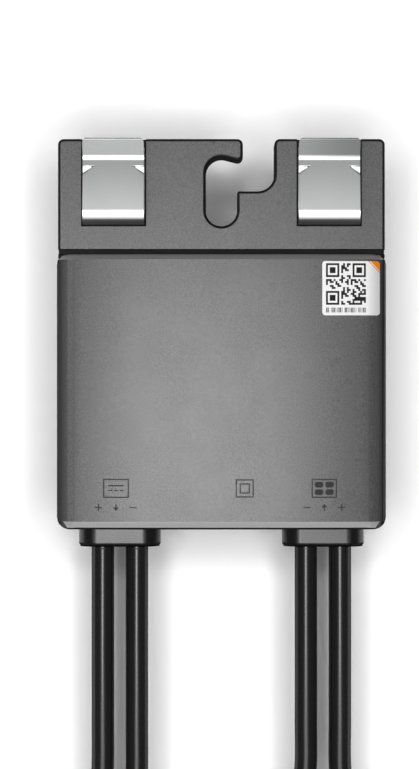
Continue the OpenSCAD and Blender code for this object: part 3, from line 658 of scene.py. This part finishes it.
@dataclass
class Crown:
    """Slight fall of the front face towards both sides of the box."""

    start_x: float = 6.0
    end_x: float = 41.0
    tilt: float = 4.3
    low_z: float = 20.0
    full_z: float = 23.0
    top_y: float = 21.0
    steps: int = 14

    def fall(self, x: float) -> float:
        """Tells how far the face has fallen at a place across.

        Args:
            x: Place across in millimetres.

        Returns:
            The fall in millimetres.
        """
        out = max(0.0, abs(x) - self.start_x)
        run = self.end_x - self.start_x
        slope = math.tan(math.radians(self.tilt))
        return slope * out ** 3 / (3 * run ** 2) if out < run else slope * (out - 2 * run / 3)

    def shape(self, obj: Object) -> None:
        """Cuts an object into strips along the sides and lowers them.

        Args:
            obj: Object on the front of the box.
        """
        for way in (-1, 1):
            for k in range(self.steps + 1):
                at = self.start_x + (self.end_x - self.start_x) * k / self.steps
                for face in edit(obj, Pick.FACE).faces:
                    centre = face.calc_center_median() / MM
                    face.select_set(centre.y < self.top_y and centre.z > self.low_z)
                bpy.ops.mesh.bisect(plane_co=(way * at * MM, 0.0, 0.0), plane_no=(1.0, 0.0, 0.0))
                leave()
        for vert in obj.data.vertices:
            x, y, z = vert.co / MM
            if y < self.top_y and z > self.low_z:
                share = min(1.0, (z - self.low_z) / (self.full_z - self.low_z))
                vert.co.z -= self.fall(x) * share * MM


@dataclass
class Housing:
    """Front housing, rear cover, seal and cover screws."""

    front_z: float = 25.0
    flange_z: float = 22.0
    flange_rear_z: float = 13.0
    chamfer: float = 1.5
    slope_y: float = 2.15
    bottom_y: float = -50.75
    top_y: float = 50.75
    body_y: float = 20.8
    flange_y: float = 22.0
    flange_edge: float = 0.68
    pocket_edge: float = 0.12
    body_edge: float = 0.85
    rear_edge: float = 0.3
    cover_edge: float = 0.5
    screw_edge: float = 0.12
    clip_x: float = 28.0
    recess_x: float = 42.0
    round_x: float = 40.0
    recess_y: float = 50.5
    pocket: Span = (16.7, 22.65)
    reach: float = 0.1

    def is_flange_outline(self, edge: Edge) -> bool:
        """Tells whether an edge bounds the front of the flange."""
        above = lies_at(edge, Axis.Z, self.flange_z) and middle(edge).y > self.flange_y + 0.3
        return above and sharp(edge) and not self.is_pocket_outline(edge)

    def is_flange_foot(self, edge: Edge) -> bool:
        """Tells whether an edge is the lower one on the front of the flange."""
        low = abs(middle(edge).y - self.flange_y) < self.reach
        return low and lies_at(edge, Axis.Z, self.flange_z) and sharp(edge)

    def is_pocket_outline(self, edge: Edge) -> bool:
        """Tells whether an edge bounds a clip's pocket on the front of the flange."""
        at, (width, height) = middle(edge), self.pocket
        return (abs(abs(at.x) - self.clip_x) < width / 2 + TINY and sharp(edge)
                and self.top_y - height - TINY < at.y < self.top_y - 0.05
                and lies_at(edge, Axis.Z, self.flange_z))

    def is_body_outline(self, edge: Edge) -> bool:
        """Tells whether an edge lies between the front of the box and its walls."""
        at, slopes = middle(edge), sorted(abs(face.normal.z) for face in edge.link_faces)
        return (at.y <= self.body_y + self.reach and at.z >= self.flange_rear_z
                and sharp(edge, 12) and slopes[0] < 0.05 < slopes[1])

    def is_flange_rear(self, edge: Edge) -> bool:
        """Tells whether an edge bounds the rear of the flange."""
        return lies_at(edge, Axis.Z, self.flange_rear_z) and middle(edge).y > self.body_y + 1 and sharp(edge)

    def widen_slope(self, obj: Object) -> None:
        """Moves the upper edge of the lower chamfer up the front face.

        Args:
            obj: Front housing.
        """
        edge_y = self.bottom_y + self.chamfer
        for vert in obj.data.vertices:
            if abs(vert.co.y / MM - edge_y) < TINY and vert.co.z > self.flange_rear_z * MM:
                vert.co.y = (self.bottom_y + self.slope_y) * MM

    def zones(self) -> tuple[tuple[Skin, Zone], ...]:
        """Sets out the parts of the front housing that have a material of their own.

        Returns:
            Material slots and zones, in the order of painting.
        """
        box_y = (-FAR, self.body_y + self.reach)
        slope_z = (self.front_z - self.chamfer - self.reach, FAR)
        recess_y = (self.body_y, self.recess_y)
        recess_z = (-FAR, self.flange_z - 0.5)
        sides = (self.round_x, FAR)
        # Painted light and shade by zone: darker walls, lighter chamfers, near-black recess faces and darker
        # side roundings.
        return (
            (Skin.SMOOTH, Zone(turn_z=(-FAR, 0.6))),
            (Skin.CHAMFER, Zone(y=box_y, z=slope_z, turn_y=(-FAR, -0.3), turn_z=(0.55, 0.85))),
            (Skin.CHAMFER, Zone(y=box_y, z=slope_z, turn_y=(0.3, FAR), turn_z=(0.55, 0.85))),
            (Skin.EDGE, Zone((-FAR, self.recess_x), recess_y, recess_z, turn_z=(-0.5, FAR))),
            (Skin.ROUND, Zone(sides, box_y, (self.flange_rear_z, FAR), (-0.3, 0.3), (0.05, 0.9985))),
        )

    def build_front(self) -> None:
        """Builds the front housing from its CAD form, with its rounded edges painted dark as shade."""
        obj = copy_of("front_housing", "housing_front")
        paint(obj, (Finishes.FRONT, Finishes.SMOOTH, Finishes.CHAMFER, Finishes.EDGE, Finishes.ROUND,
                    Finishes.SHOULDER))
        for skin, zone in self.zones():
            assign(obj, skin, zone.holds)
        # Rounded edges in the dark slot are painted shade.
        for rounding in (Rounding(self.is_flange_outline, self.flange_edge, 4, Skin.EDGE),
                         Rounding(self.is_pocket_outline, self.pocket_edge, 2, Skin.EDGE),
                         Rounding(self.is_flange_foot, self.pocket_edge, 2, Skin.EDGE),
                         Rounding(self.is_body_outline, self.body_edge, 3, Skin.EDGE),
                         Rounding(self.is_flange_rear, self.rear_edge, 2, Skin.SMOOTH)):
            rounding.apply(obj)
        # Painted light on the upper shoulder of the box.
        slope_y = (self.body_y - self.chamfer - self.reach / 2, self.body_y + self.reach)
        shoulder = Zone(y=slope_y, z=(self.flange_z, FAR), turn_y=(0.3, FAR), turn_z=(0.3, 0.9))
        assign(obj, Skin.SHOULDER, shoulder.holds)
        self.widen_slope(obj)
        Crown().shape(obj)
        smooth(obj, flat=Zone(y=(self.flange_y, FAR), turn_z=(0.9999, FAR)).holds)
        stand_for(obj, "front_housing")

    def build_rear(self) -> None:
        """Builds the rear cover, the seal and the screws."""
        outline = Rounding(lambda edge: lies_at(edge, Axis.Z, 0.0) and sharp(edge), self.cover_edge, 3)
        dress("rear_cover", "cover_rear", (Finishes.COVER,), outline)
        dress("cover_seal", "seal_cover", (Finishes.SEAL,))
        dress("cover_screws", "screws_cover", (Finishes.SCREW,), Rounding(sharp, self.screw_edge))

    def build(self) -> None:
        """Builds the whole box."""
        self.build_front()
        self.build_rear()


@dataclass
class SpringClips:
    """Two bent stainless clips on the flange."""

    edge: float = 0.12
    fold: float = 50.0
    smooth_angle: float = 25.0
    # Painted shade on the top end of each lip.
    shaded_end: Zone = Zone(y=(49.1, FAR), z=(24.6, FAR), turn_y=(0.05, FAR), turn_z=(-0.3, FAR))

    def build(self) -> list[Object]:
        """Builds both clips.

        Returns:
            The clips.
        """
        made: list[Object] = []
        for node in (f"clip_{side.name.lower()}" for side in Side):
            clip = copy_of(node, f"spring_{node}")
            paint(clip, (Finishes.STEEL, Finishes.END_SHADE))
            Rounding(lambda edge: sharp(edge, self.fold), self.edge).apply(clip)
            assign(clip, 1, self.shaded_end.holds)
            smooth(clip, self.smooth_angle)
            stand_for(clip, node)
            made.append(clip)
        return made


@dataclass
class Glands:
    """Two oval glands with their rubber bushes."""

    mouth_y: float = -55.75
    lip: float = 0.95
    bush_edge: float = 0.25
    pairs: tuple[str, str] = ("out_pair", "pv_pair")

    def is_mouth(self, edge: Edge) -> bool:
        """Tells whether an edge bounds the outside of a gland's mouth."""
        return lies_at(edge, Axis.Y, self.mouth_y) and sharp(edge)

    def is_bush_end(self, edge: Edge) -> bool:
        """Tells whether an edge bounds the outer end of a bush."""
        return middle(edge).y < self.mouth_y + 1 and sharp(edge)

    def build(self) -> list[Object]:
        """Builds both glands.

        Returns:
            The glands, without their bushes.
        """
        made: list[Object] = []
        for pair in self.pairs:
            # The mouth's rounded lip takes the near-black edge copy, as painted shade.
            made.append(dress(f"gland_{pair}", f"strain_relief_{pair}", (Finishes.GLAND, Finishes.EDGE),
                              Rounding(self.is_mouth, self.lip, 5, 1)))
            dress(f"bush_{pair}", f"rubber_bush_{pair}", (Finishes.SEAL,),
                  Rounding(self.is_bush_end, self.bush_edge))
        return made


def lay_ink(obj: Object, name: str, depth: float, finish: Finish) -> None:
    """Turns flat faces into a thin layer of ink that follows the front of the box.

    Args:
        obj: Object with flat faces that look outwards.
        name: Name of the piece.
        depth: Thickness in millimetres.
        finish: Finish of the ink.
    """
    obj.name = name
    Crown().shape(obj)
    only(obj)
    solidify = obj.modifiers.new("film", "SOLIDIFY")
    solidify.thickness = depth * MM
    solidify.offset = 1.0
    bpy.ops.object.modifier_apply(modifier=solidify.name)
    paint(obj, (finish,))
    stand_for(obj)


@dataclass
class Ink:
    """Print on the front face, put together from flat rectangles."""

    face_z: float = 25.0
    film: float = 0.02
    line: float = 0.31
    made: list[Object] = field(default_factory=list)

    def plate(self, x: float, y: float, w: float, h: float) -> Object:
        """Adds a flat rectangle on the face.

        Args:
            x: Middle across.
            y: Middle along.
            w: Width.
            h: Height.

        Returns:
            The rectangle, in object mode.
        """
        bpy.ops.object.select_all(action="DESELECT")
        bpy.ops.mesh.primitive_plane_add(size=MM, location=(x * MM, y * MM, self.face_z * MM))
        obj = bpy.context.object
        obj.scale = (w, h, 1.0)
        bpy.ops.object.transform_apply(location=True, rotation=True, scale=True)
        self.made.append(obj)
        return obj

    def join(self, name: str, finish: Finish) -> None:
        """Joins the rectangles into one thin layer.

        Args:
            name: Name of the piece.
            finish: Finish of the ink.
        """
        first = self.made[0]
        only(first)
        for obj in self.made[1:]:
            obj.select_set(True)
        bpy.ops.object.join()
        lay_ink(first, name, self.film, finish)


@dataclass
class FaceMarks(Ink):
    """Printed signs on the front face."""

    icon_y: float = -39.96
    sign_y: float = -44.9
    sign_w: float = 1.9
    icon_h: float = 4.9
    output_x: float = -27.26
    output_w: float = 6.7
    input_x: float = 26.6
    input_w: float = 6.57
    long_bar: tuple[float, float, float] = (0.7, 4.0, 0.36)
    short_bar: tuple[float, float, float] = (-0.52, 1.0, 1.5)
    cell: Span = (2.25, 1.5)
    cell_step: Span = (2.73, 1.92)
    cell_round: float = 0.45
    square_x: float = 6.03
    squares: Span = (4.7, 2.65)
    shaft: float = 0.9
    head: Span = (1.5, 0.9)
    tip: float = 0.02
    signs: tuple[tuple[float, Sign], ...] = (
        (-31.8, Sign.PLUS), (-22.85, Sign.MINUS), (22.1, Sign.MINUS), (31.1, Sign.PLUS))

    def frame(self, x: float, y: float, w: float, h: float) -> None:
        """Adds a rectangle that is only an outline of the line's width.

        Args:
            x: Middle across.
            y: Middle along.
            w: Width.
            h: Height.
        """
        edit(self.plate(x, y, w, h), Pick.FACE, whole=True)
        bpy.ops.mesh.inset(thickness=self.line * MM, depth=0.0)
        bpy.ops.mesh.delete(type="FACE")
        leave()

    def rounded_cell(self, x: float, y: float) -> None:
        """Adds a filled cell with round corners.

        Args:
            x: Middle across.
            y: Middle along.
        """
        edit(self.plate(x, y, *self.cell), whole=True)
        radius = self.cell[1] * self.cell_round
        bpy.ops.mesh.bevel(offset=radius * MM, segments=6, affect="VERTICES", clamp_overlap=True)
        leave()

    def sign(self, x: float, kind: Sign) -> None:
        """Adds a plus or minus sign.

        Args:
            x: Middle across.
            kind: Which sign.
        """
        self.plate(x, self.sign_y, self.sign_w, self.line)
        if kind is Sign.PLUS:
            rest = (self.sign_w - self.line) / 2
            for way in (-1, 1):
                self.plate(x, self.sign_y + way * (rest + self.line) / 2, self.line, rest)

    def arrow(self, x: float, way: int) -> None:
        """Adds an arrow.

        Args:
            x: Middle across.
            way: -1 for an arrow out of the box, 1 for one into it.
        """
        width, height = self.head
        self.plate(x, self.sign_y - way * height / 2, self.line, self.shaft)
        head = self.plate(x, self.sign_y + way * self.shaft / 2, width, height)
        for vert in edit(head).verts:
            vert.select_set((vert.co.y / MM - self.sign_y) * way > self.shaft / 2)
        bpy.ops.transform.resize(value=(self.tip, 1.0, 1.0), center_override=(x * MM, 0.0, 0.0))
        leave()

    def lay_out(self) -> None:
        """Adds every sign in its place."""
        self.frame(self.output_x, self.icon_y, self.output_w, self.icon_h)
        rise, width, height = self.long_bar
        self.plate(self.output_x, self.icon_y + rise, width, height)
        rise, width, step = self.short_bar
        for k in (-1, 0, 1):
            self.plate(self.output_x + k * step, self.icon_y + rise, width, self.line)
        self.frame(self.input_x, self.icon_y, self.input_w, self.icon_h)
        for across in (-1, 1):
            for along in (-1, 1):
                self.rounded_cell(self.input_x + across * self.cell_step[0] / 2,
                                  self.icon_y + along * self.cell_step[1] / 2)
        for size in self.squares:
            self.frame(self.square_x, self.icon_y, size, size)
        for x, kind in self.signs:
            self.sign(x, kind)
        self.arrow(self.output_x, -1)
        self.arrow(self.input_x, 1)

    def build(self) -> None:
        """Builds the signs as one thin layer of ink."""
        self.lay_out()
        self.join("face_marks", Finishes.INK)


@dataclass
class FaceLabel:
    """White film over the right edge of the face, with a plain cell code and a coloured corner."""

    right: float = 41.07
    top: float = 18.8
    face_z: float = 25.15
    film: float = 0.015
    code_x: Span = (27.03, 37.36)
    code_y: Span = (7.5, 18.25)
    cells: int = 21
    eye: int = 7
    row_y: float = 6.15
    row_h: float = 1.25
    bars: int = 26
    bar_shares: Span = (0.3, 0.65)
    corner: Span = (-1.0, 2.5)
    stripe: Span = (2.85, 3.1)

    def is_dark(self, i: int, j: int) -> bool:
        """Tells whether a cell of the code is dark.

        Args:
            i: Column from the left.
            j: Row from the bottom.

        Returns:
            True for a dark cell.
        """
        far = self.cells - self.eye
        for ei, ej in ((0, 0), (0, far), (far, far)):
            u, v = i - ei, j - ej
            if -1 <= u <= self.eye and -1 <= v <= self.eye:
                return max(abs(u - self.eye // 2), abs(v - self.eye // 2)) in (0, 1, 3)
        return (i * i * 3 + j * j * 5 + i * j * 7 + i + 2 * j) % 13 < 6

    def build_code(self) -> None:
        """Builds the cell code from a grid whose pale cells are taken out."""
        x0, x1 = self.code_x
        y0, y1 = self.code_y
        bpy.ops.object.select_all(action="DESELECT")
        bpy.ops.mesh.primitive_grid_add(
            x_subdivisions=self.cells, y_subdivisions=self.cells, size=MM,
            location=((x0 + x1) / 2 * MM, (y0 + y1) / 2 * MM, self.face_z * MM))
        code = bpy.context.object
        code.scale = (x1 - x0, y1 - y0, 1.0)
        bpy.ops.object.transform_apply(location=True, rotation=True, scale=True)
        for face in edit(code, Pick.FACE).faces:
            at = face.calc_center_median() / MM
            i = int((at.x - x0) / (x1 - x0) * self.cells)
            j = int((at.y - y0) / (y1 - y0) * self.cells)
            face.select_set(not self.is_dark(i, j))
        bpy.ops.mesh.delete(type="FACE")
        leave()
        lay_ink(code, "label_code", self.film, Finishes.PRINT)

    def build_row(self) -> None:
        """Builds the row of plain bars under the code."""
        row = Ink(face_z=self.face_z, film=self.film)
        step = (self.code_x[1] - self.code_x[0]) / self.bars
        for k in range(self.bars):
            share = self.bar_shares[(k * k + 3 * k) % 4 == 0]
            if k % 9 != 2:
                row.plate(self.code_x[0] + step * (k + 0.5), self.row_y, step * share, self.row_h)
        row.join("label_row", Finishes.PRINT)

    def cut_corner(self, name: str, near: float, far: float) -> None:
        """Builds a coloured strip across the label's top right corner.

        Args:
            name: Name of the piece.
            near: Distance along the label's edges from the corner to the strip's outer line.
            far: Distance to its inner line.
        """
        piece = copy_of("label", name)
        for distance, outer in ((far, False), (near, True)):
            edit(piece, whole=True)
            bpy.ops.mesh.bisect(
                plane_co=((self.right - distance) * MM, self.top * MM, 0.0), plane_no=(1.0, 1.0, 0.0),
                clear_inner=not outer, clear_outer=outer, use_fill=True)
            leave()
        edit(piece, whole=True)
        bpy.ops.transform.shrink_fatten(value=self.film * MM)
        leave()
        Crown().shape(piece)
        paint(piece, (Finishes.CORNER,))
        smooth(piece)
        stand_for(piece)

    def build(self) -> None:
        """Builds the label and its print."""
        film = copy_of("label", "label_film")
        Crown().shape(film)
        paint(film, (Finishes.FILM,))
        smooth(film)
        stand_for(film, "label")
        self.build_code()
        self.build_row()
        self.cut_corner("label_corner", *self.corner)
        self.cut_corner("label_stripe", *self.stripe)


@dataclass
class Leads:
    """Four leads: two long output leads wound up in coils, and two short input leads.

    The points of a way are its shift across, its distance out of the gland and its height.
    """

    diameter: float = 6.0
    inner_y: float = -42.25
    mouth_y: float = -55.75
    gland_z: float = 11.0
    lead_x: tuple[float, float, float, float] = (-31.4, -22.4, 22.4, 31.4)
    coil_centre: Span = (-0.78, -240.75)
    coil_in_r: float = 24.0
    coil_out_r: float = 36.42
    layer_h: float = 6.3
    coil_z: float = 1.4
    turns: int = 2
    turn_points: int = 18
    climb: float = 0.14
    coil_ahead: float = 8.0
    ring_clear: float = 22.15
    nut_x: float = -8.8
    nut_y: Span = (-290.77, -308.77)
    nut_ahead: Span = (-4.0, -1.0)
    axis_z: float = 8.0
    cable_in: float = 9.0
    input_side: float = 4.3
    input_nut: float = 91.0
    way_straight: tuple[Point, ...] = ((0, 0, 11), (0, 3, 11), (0, 25, 11.3), (0, 45, 11.2))
    ways_in: dict[Level, tuple[Point, ...]] = field(default_factory=lambda: {
        Level.LOWER: ((-0.2, 62, 10.4), (-1.9, 85, 7.6), (-4.9, 105, 5), (-5.8, 125, 4.1)),
        Level.UPPER: ((-0.22, 65, 10.9), (-2.2, 85, 11.6), (-8.2, 105, 13), (-13.2, 125, 15.2),
                      (-14.8, 143, 17.15)),
    })
    ways_out: dict[Level, tuple[Point, ...]] = field(default_factory=lambda: {
        Level.LOWER: ((0, 4, 10.65), (0.8, 10, 10.2), (5.4, 19, 9.4), (14.4, 26, 8.6)),
        Level.UPPER: ((0, 10, 21.45), (0.8, 22, 17), (5.4, 34, 12.5), (14.4, 43, 9.2)),
    })
    way_input: tuple[Point, ...] = ((0.035, 60, 10.6), (0.5, 72, 9.4), (0.93, 82, 8.4))
    handle_part: float = 6.0

    def from_gland(self, x: float, way: Iterable[Point], spread: float = 1.0) -> list[Vector]:
        """Returns a way from inside the box, with its shifts multiplied by the spread."""
        inside = [Vector((x, y, self.gland_z)) for y in (self.inner_y, (self.inner_y + self.mouth_y) / 2)]
        return inside + [
            Vector((x + dx * spread, self.mouth_y - out, z)) for dx, out, z in (*self.way_straight, *way)]

    def coil(self, level: Level) -> list[Vector]:
        """Winds a coil: in along its lower layer and out along its upper one.

        Args:
            level: Which coil.

        Returns:
            Points in millimetres.
        """
        x, y = self.coil_centre
        low = self.coil_z + self.layer_h * (2 * level.value + 0.5)
        total = 2 * self.turns * self.turn_points
        points: list[Vector] = []
        for k in range(total + 1):
            turn = k / self.turn_points - self.turns
            radius = self.coil_in_r + (self.coil_out_r - self.coil_in_r) * abs(turn) / self.turns
            rise = min(1.0, max(0.0, turn / (2 * self.climb) + 0.5))
            angle = math.pi + 2 * math.pi * turn
            height = low + self.layer_h * rise * rise * (3 - 2 * rise)
            points.append(Vector((x + radius * math.cos(angle), y + radius * math.sin(angle), height)))
        return points

    def output_route(self, level: Level) -> list[Vector]:
        """Sets out an output lead, from the box through its coil to its connector.

        Args:
            level: Coil of the lead.

        Returns:
            Points in millimetres.
        """
        left = self.coil_centre[0] - self.coil_out_r
        y = self.coil_centre[1]
        wound = self.coil(level)
        entry = [Vector((left, y + self.ring_clear + ahead, wound[0].z)) for ahead in (self.coil_ahead, 0.0)]
        off = [Vector((left, y - self.ring_clear, wound[-1].z))]
        away = [Vector((left + dx, y - self.ring_clear - out, z)) for dx, out, z in self.ways_out[level]]
        nut = [Vector((self.nut_x + dx, self.nut_y[level.value], self.axis_z))
               for dx in (*self.nut_ahead, self.cable_in)]
        start = self.from_gland(self.lead_x[level.value], self.ways_in[level])
        return start + entry + wound + off + away + nut

    def input_route(self, index: int) -> list[Vector]:
        """Sets out an input lead, from the box to its connector.

        Args:
            index: Number of the lead from the left.

        Returns:
            Points in millimetres.
        """
        x = self.lead_x[index]
        side = self.input_side if LEADS[index] == "pv_plus" else -self.input_side
        nut_y = self.mouth_y - self.input_nut
        end = [Vector((x + side, nut_y - more, self.axis_z)) for more in (0.0, self.cable_in)]
        return self.from_gland(x, self.way_input, side) + end

    def cord(self, name: str, route: Sequence[Vector], cuts: int = 0) -> Object:
        """Draws a lead as a smooth round curve through its route.

        Args:
            name: Name of the piece.
            route: Points in millimetres.
            cuts: Points added on each stretch, on the same line.

        Returns:
            The curve.
        """
        curve = bpy.data.curves.new(name, "CURVE")
        curve.dimensions = "3D"
        curve.bevel_depth = self.diameter / 2 * MM
        curve.bevel_resolution = 8
        curve.resolution_u = 10
        curve.use_fill_caps = True
        spline = curve.splines.new("BEZIER")
        spline.bezier_points.add(len(route) - 1)
        for k, knot in enumerate(spline.bezier_points):
            tangent = (route[min(k + 1, len(route) - 1)] - route[max(k - 1, 0)]) / self.handle_part
            knot.handle_left_type = knot.handle_right_type = "FREE"
            knot.co = route[k] * MM
            knot.handle_left = (route[k] - tangent) * MM
            knot.handle_right = (route[k] + tangent) * MM
        obj = add(name, curve)
        if cuts:
            only(obj)
            bpy.ops.object.mode_set(mode="EDIT")
            bpy.ops.curve.select_all(action="SELECT")
            bpy.ops.curve.subdivide(number_cuts=cuts)
            leave()
        curve.materials.append(Finishes.SHEATH.material())
        return obj

    def build(self, pieces_on: dict[str, list[Object]]) -> list[Object]:
        """Builds the four leads.

        Args:
            pieces_on: Connector and strap pieces of each lead; not used.

        Returns:
            The leads.
        """
        made: list[Object] = []
        for index, name in enumerate(LEADS):
            coiled = index < len(Level)
            route = self.output_route(Level(index)) if coiled else self.input_route(index)
            obj = self.cord(f"cable_{name}", route, 0 if coiled else 1)
            stand_for(obj, f"lead_{name}", *([f"coil_{name}"] if coiled else []))
            made.append(obj)
        return made


@dataclass
class Connectors:
    """Four cable connectors, each with a shell, a nut, a contact and a seal."""

    edge: float = 0.25
    small: float = 0.12
    finishes: dict[str, Finish] = field(default_factory=lambda: {
        "shell": Finishes.SHELL, "nut": Finishes.SHELL, "contact": Finishes.CONTACT, "seal": Finishes.SEAL})

    def build(self) -> dict[str, list[Object]]:
        """Builds the connectors.

        Returns:
            The pieces of each connector, by lead.
        """
        made: dict[str, list[Object]] = {lead: [] for lead in LEADS}
        for lead, pieces in made.items():
            for part, finish in self.finishes.items():
                width = self.small if part in ("contact", "seal") else self.edge
                pieces.append(dress(
                    f"{lead}_{part}", f"connector_{lead}_{part}", (finish,), Rounding(sharp, width)))
        return made


@dataclass
class CoilStraps:
    """Two straps that hold the coils together."""

    edge: float = 0.3

    def build(self) -> Object:
        """Builds the straps and returns them."""
        return dress("coil_ties", "coil_straps", (Finishes.STRAP,), Rounding(sharp, self.edge))


@dataclass
class Electronics:
    """Circuit inside the box, which keeps its CAD form."""

    finishes: dict[str, Finish] = field(default_factory=lambda: {
        "circuit_board": Finishes.BOARD,
        "inductor_core": Finishes.FERRITE,
        "inductor_winding": Finishes.COPPER,
        "film_capacitors": Finishes.FILM_CASE,
        "can_capacitors": Finishes.CAN,
        "switches_power": Finishes.CHIP,
        "bypass_diode": Finishes.CHIP,
        "controller_chip": Finishes.CHIP,
        "line_choke": Finishes.CHOKE,
        "current_shunt": Finishes.CERAMIC,
        "chip_capacitors": Finishes.CERAMIC,
        "lead_terminals": Finishes.TIN,
        "lead_cores": Finishes.CORE_WIRE,
        "potting": Finishes.COMPOUND,
    })

    def dress(self, nodes: dict[str, Object]) -> None:
        """Gives every inner node its finish.

        Args:
            nodes: CAD nodes by name.
        """
        for name, finish in self.finishes.items():
            paint(nodes[name], (finish,))
            LOG.info("node %s: %s", name, finish.name)


@dataclass
class Softbox:
    """Rectangular lamp that shines at a point; its lengths are metres."""

    name: str
    place: Point
    aim: Point
    size: Span
    radiance: float
    lit: Lit = Lit.OBJECT

    def build(self, receivers: bpy.types.Collection) -> None:
        """Adds the lamp.

        Args:
            receivers: Collection that says what it lights.
        """
        lamp = bpy.data.lights.new(self.name, "AREA")
        lamp.shape = "RECTANGLE"
        lamp.size, lamp.size_y = self.size
        lamp.energy = self.radiance * math.pi * self.size[0] * self.size[1]
        obj = add(self.name, lamp)
        obj.location = self.place
        obj.rotation_euler = (Vector(self.aim) - Vector(self.place)).to_track_quat("-Z", "Y").to_euler()
        obj.light_linking.receiver_collection = receivers


@dataclass
class Studio:
    """White floor, soft light and the camera straight above the front."""

    frame_px: tuple[int, int] = (419, 769)
    sensor: float = 36.0
    scale_px: float = 3.87
    distance: float = 540.0
    clip_m: Span = (0.01, 100.0)
    face_z: float = 25.0
    aim_y: float = -13.1
    object_right_px: float = 11.9
    floor_m: float = 12.0
    floor_colour: Colour = (0.9, 0.9, 0.9)
    ring_count: int = 32
    ring_tilt: float = 29.0
    ring_width: float = 14.0
    ring_level: float = 3.62
    world: float = 0.1
    softboxes: tuple[Softbox, ...] = (
        Softbox("key_box", (-0.052, -0.1, 1.5), (-0.052, -0.099, 0.0), (0.24, 0.38), 12.6),
        Softbox("key_rim", (-0.052, -0.11, 1.49), (-0.052, -0.109, 0.0), (0.34, 0.5), 3.8),
        Softbox("low_box", (-0.03, -0.654, 1.36), (0.0, -0.02, 0.02), (0.9, 0.68), 2.6),
        Softbox("lip_box", (0.0, -1.15, 0.96), (0.0, 0.0, 0.02), (0.9, 0.44), 0.66),
        Softbox("foot_box", (0.0, -1.45, 0.39), (0.0, -0.05, 0.02), (0.9, 0.4), 4.6, Lit.BOX),
        Softbox("left_box", (-1.0, -0.02, 1.12), (0.0, -0.02, 0.02), (1.2, 1.25), 1.6, Lit.BOX),
        Softbox("right_box", (1.0, -0.02, 1.12), (0.0, -0.02, 0.02), (1.2, 1.25), 0.35, Lit.BOX),
        Softbox("back_box", (0.0, 0.336, 1.36), (0.0, 0.335, 0.0), (0.9, 0.22), 0.75),
    )

    def build_camera(self) -> None:
        """Adds the camera at the photograph's viewing angle."""
        camera = bpy.data.cameras.new("camera")
        camera.sensor_fit = "AUTO"
        camera.sensor_width = self.sensor
        camera.lens = self.scale_px * self.sensor / self.frame_px[1] * self.distance
        camera.shift_x = -self.object_right_px / self.frame_px[1]
        camera.clip_start, camera.clip_end = self.clip_m
        obj = add("camera", camera)
        obj.location = (0.0, self.aim_y * MM, (self.face_z + self.distance) * MM)
        bpy.context.scene.camera = obj

    def build_floor(self) -> Object:
        """Adds the floor.

        Returns:
            The floor.
        """
        bpy.ops.object.select_all(action="DESELECT")
        bpy.ops.mesh.primitive_circle_add(vertices=64, radius=self.floor_m, fill_type="NGON")
        floor = bpy.context.object
        floor.name = "floor"
        sheet = NodeSheet("floor_paper")
        floor.data.materials.append(sheet.finish({
            "Base Color": (*self.floor_colour, 1.0), "Roughness": 0.9, "Specular IOR Level": 0.0}))
        return floor

    @staticmethod
    def receivers(name: str, objects: Iterable[Object], state: str) -> bpy.types.Collection:
        """Makes a collection that says what a lamp lights.

        Args:
            name: Name of the collection.
            objects: Objects in it.
            state: INCLUDE to light only them, EXCLUDE to light everything else.

        Returns:
            The collection.
        """
        made = bpy.data.collections.new(name)
        for obj in objects:
            made.objects.link(obj)
        for entry in made.collection_objects:
            entry.light_linking.link_state = state
        return made

    def build_light(self, floor: Object, others: Sequence[Object]) -> None:
        """Adds the light: a ring of lamps on the floor, and softboxes on the object.

        Args:
            floor: The floor.
            others: Clips, leads and glands, which some softboxes leave out.
        """
        on_floor = self.receivers("on_floor", [floor], "INCLUDE")
        lit = {Lit.OBJECT: self.receivers("off_floor", [floor], "EXCLUDE"),
               Lit.BOX: self.receivers("on_box", [floor, *others], "EXCLUDE")}
        for softbox in self.softboxes:
            softbox.build(lit[softbox.lit])
        for k in range(self.ring_count):
            lamp = bpy.data.lights.new(f"ring_{k}", "SUN")
            lamp.energy = self.ring_level / self.ring_count / math.cos(math.radians(self.ring_tilt))
            lamp.angle = math.radians(self.ring_width)
            obj = add(lamp.name, lamp)
            obj.rotation_euler = (math.radians(self.ring_tilt), 0.0, 2 * math.pi * k / self.ring_count)
            obj.light_linking.receiver_collection = on_floor
        world = bpy.data.worlds.new("studio")
        world.use_nodes = True
        world.node_tree.nodes["Background"].inputs["Color"].default_value = (*grey(self.world), 1.0)
        bpy.context.scene.world = world

    def build(self, others: Sequence[Object]) -> None:
        """Builds the studio.

        Args:
            others: Clips, leads and glands.
        """
        bpy.context.scene.view_settings.view_transform = "Standard"
        self.build_camera()
        self.build_light(self.build_floor(), others)


def main() -> None:
    """Builds every sub-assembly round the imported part."""
    logging.basicConfig(level=logging.INFO, format="%(name)s: %(message)s")
    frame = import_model()
    pieces_on = Connectors().build()
    straps = CoilStraps().build()
    pieces_on["out_plus"].append(straps)
    leads = Leads().build(pieces_on)
    Housing().build()
    clips = SpringClips().build()
    glands = Glands().build()
    FaceMarks().build()
    FaceLabel().build()
    Electronics().dress(frame["nodes"])
    Studio().build([*clips, *leads, *glands])


if __name__ == "__main__":
    main()
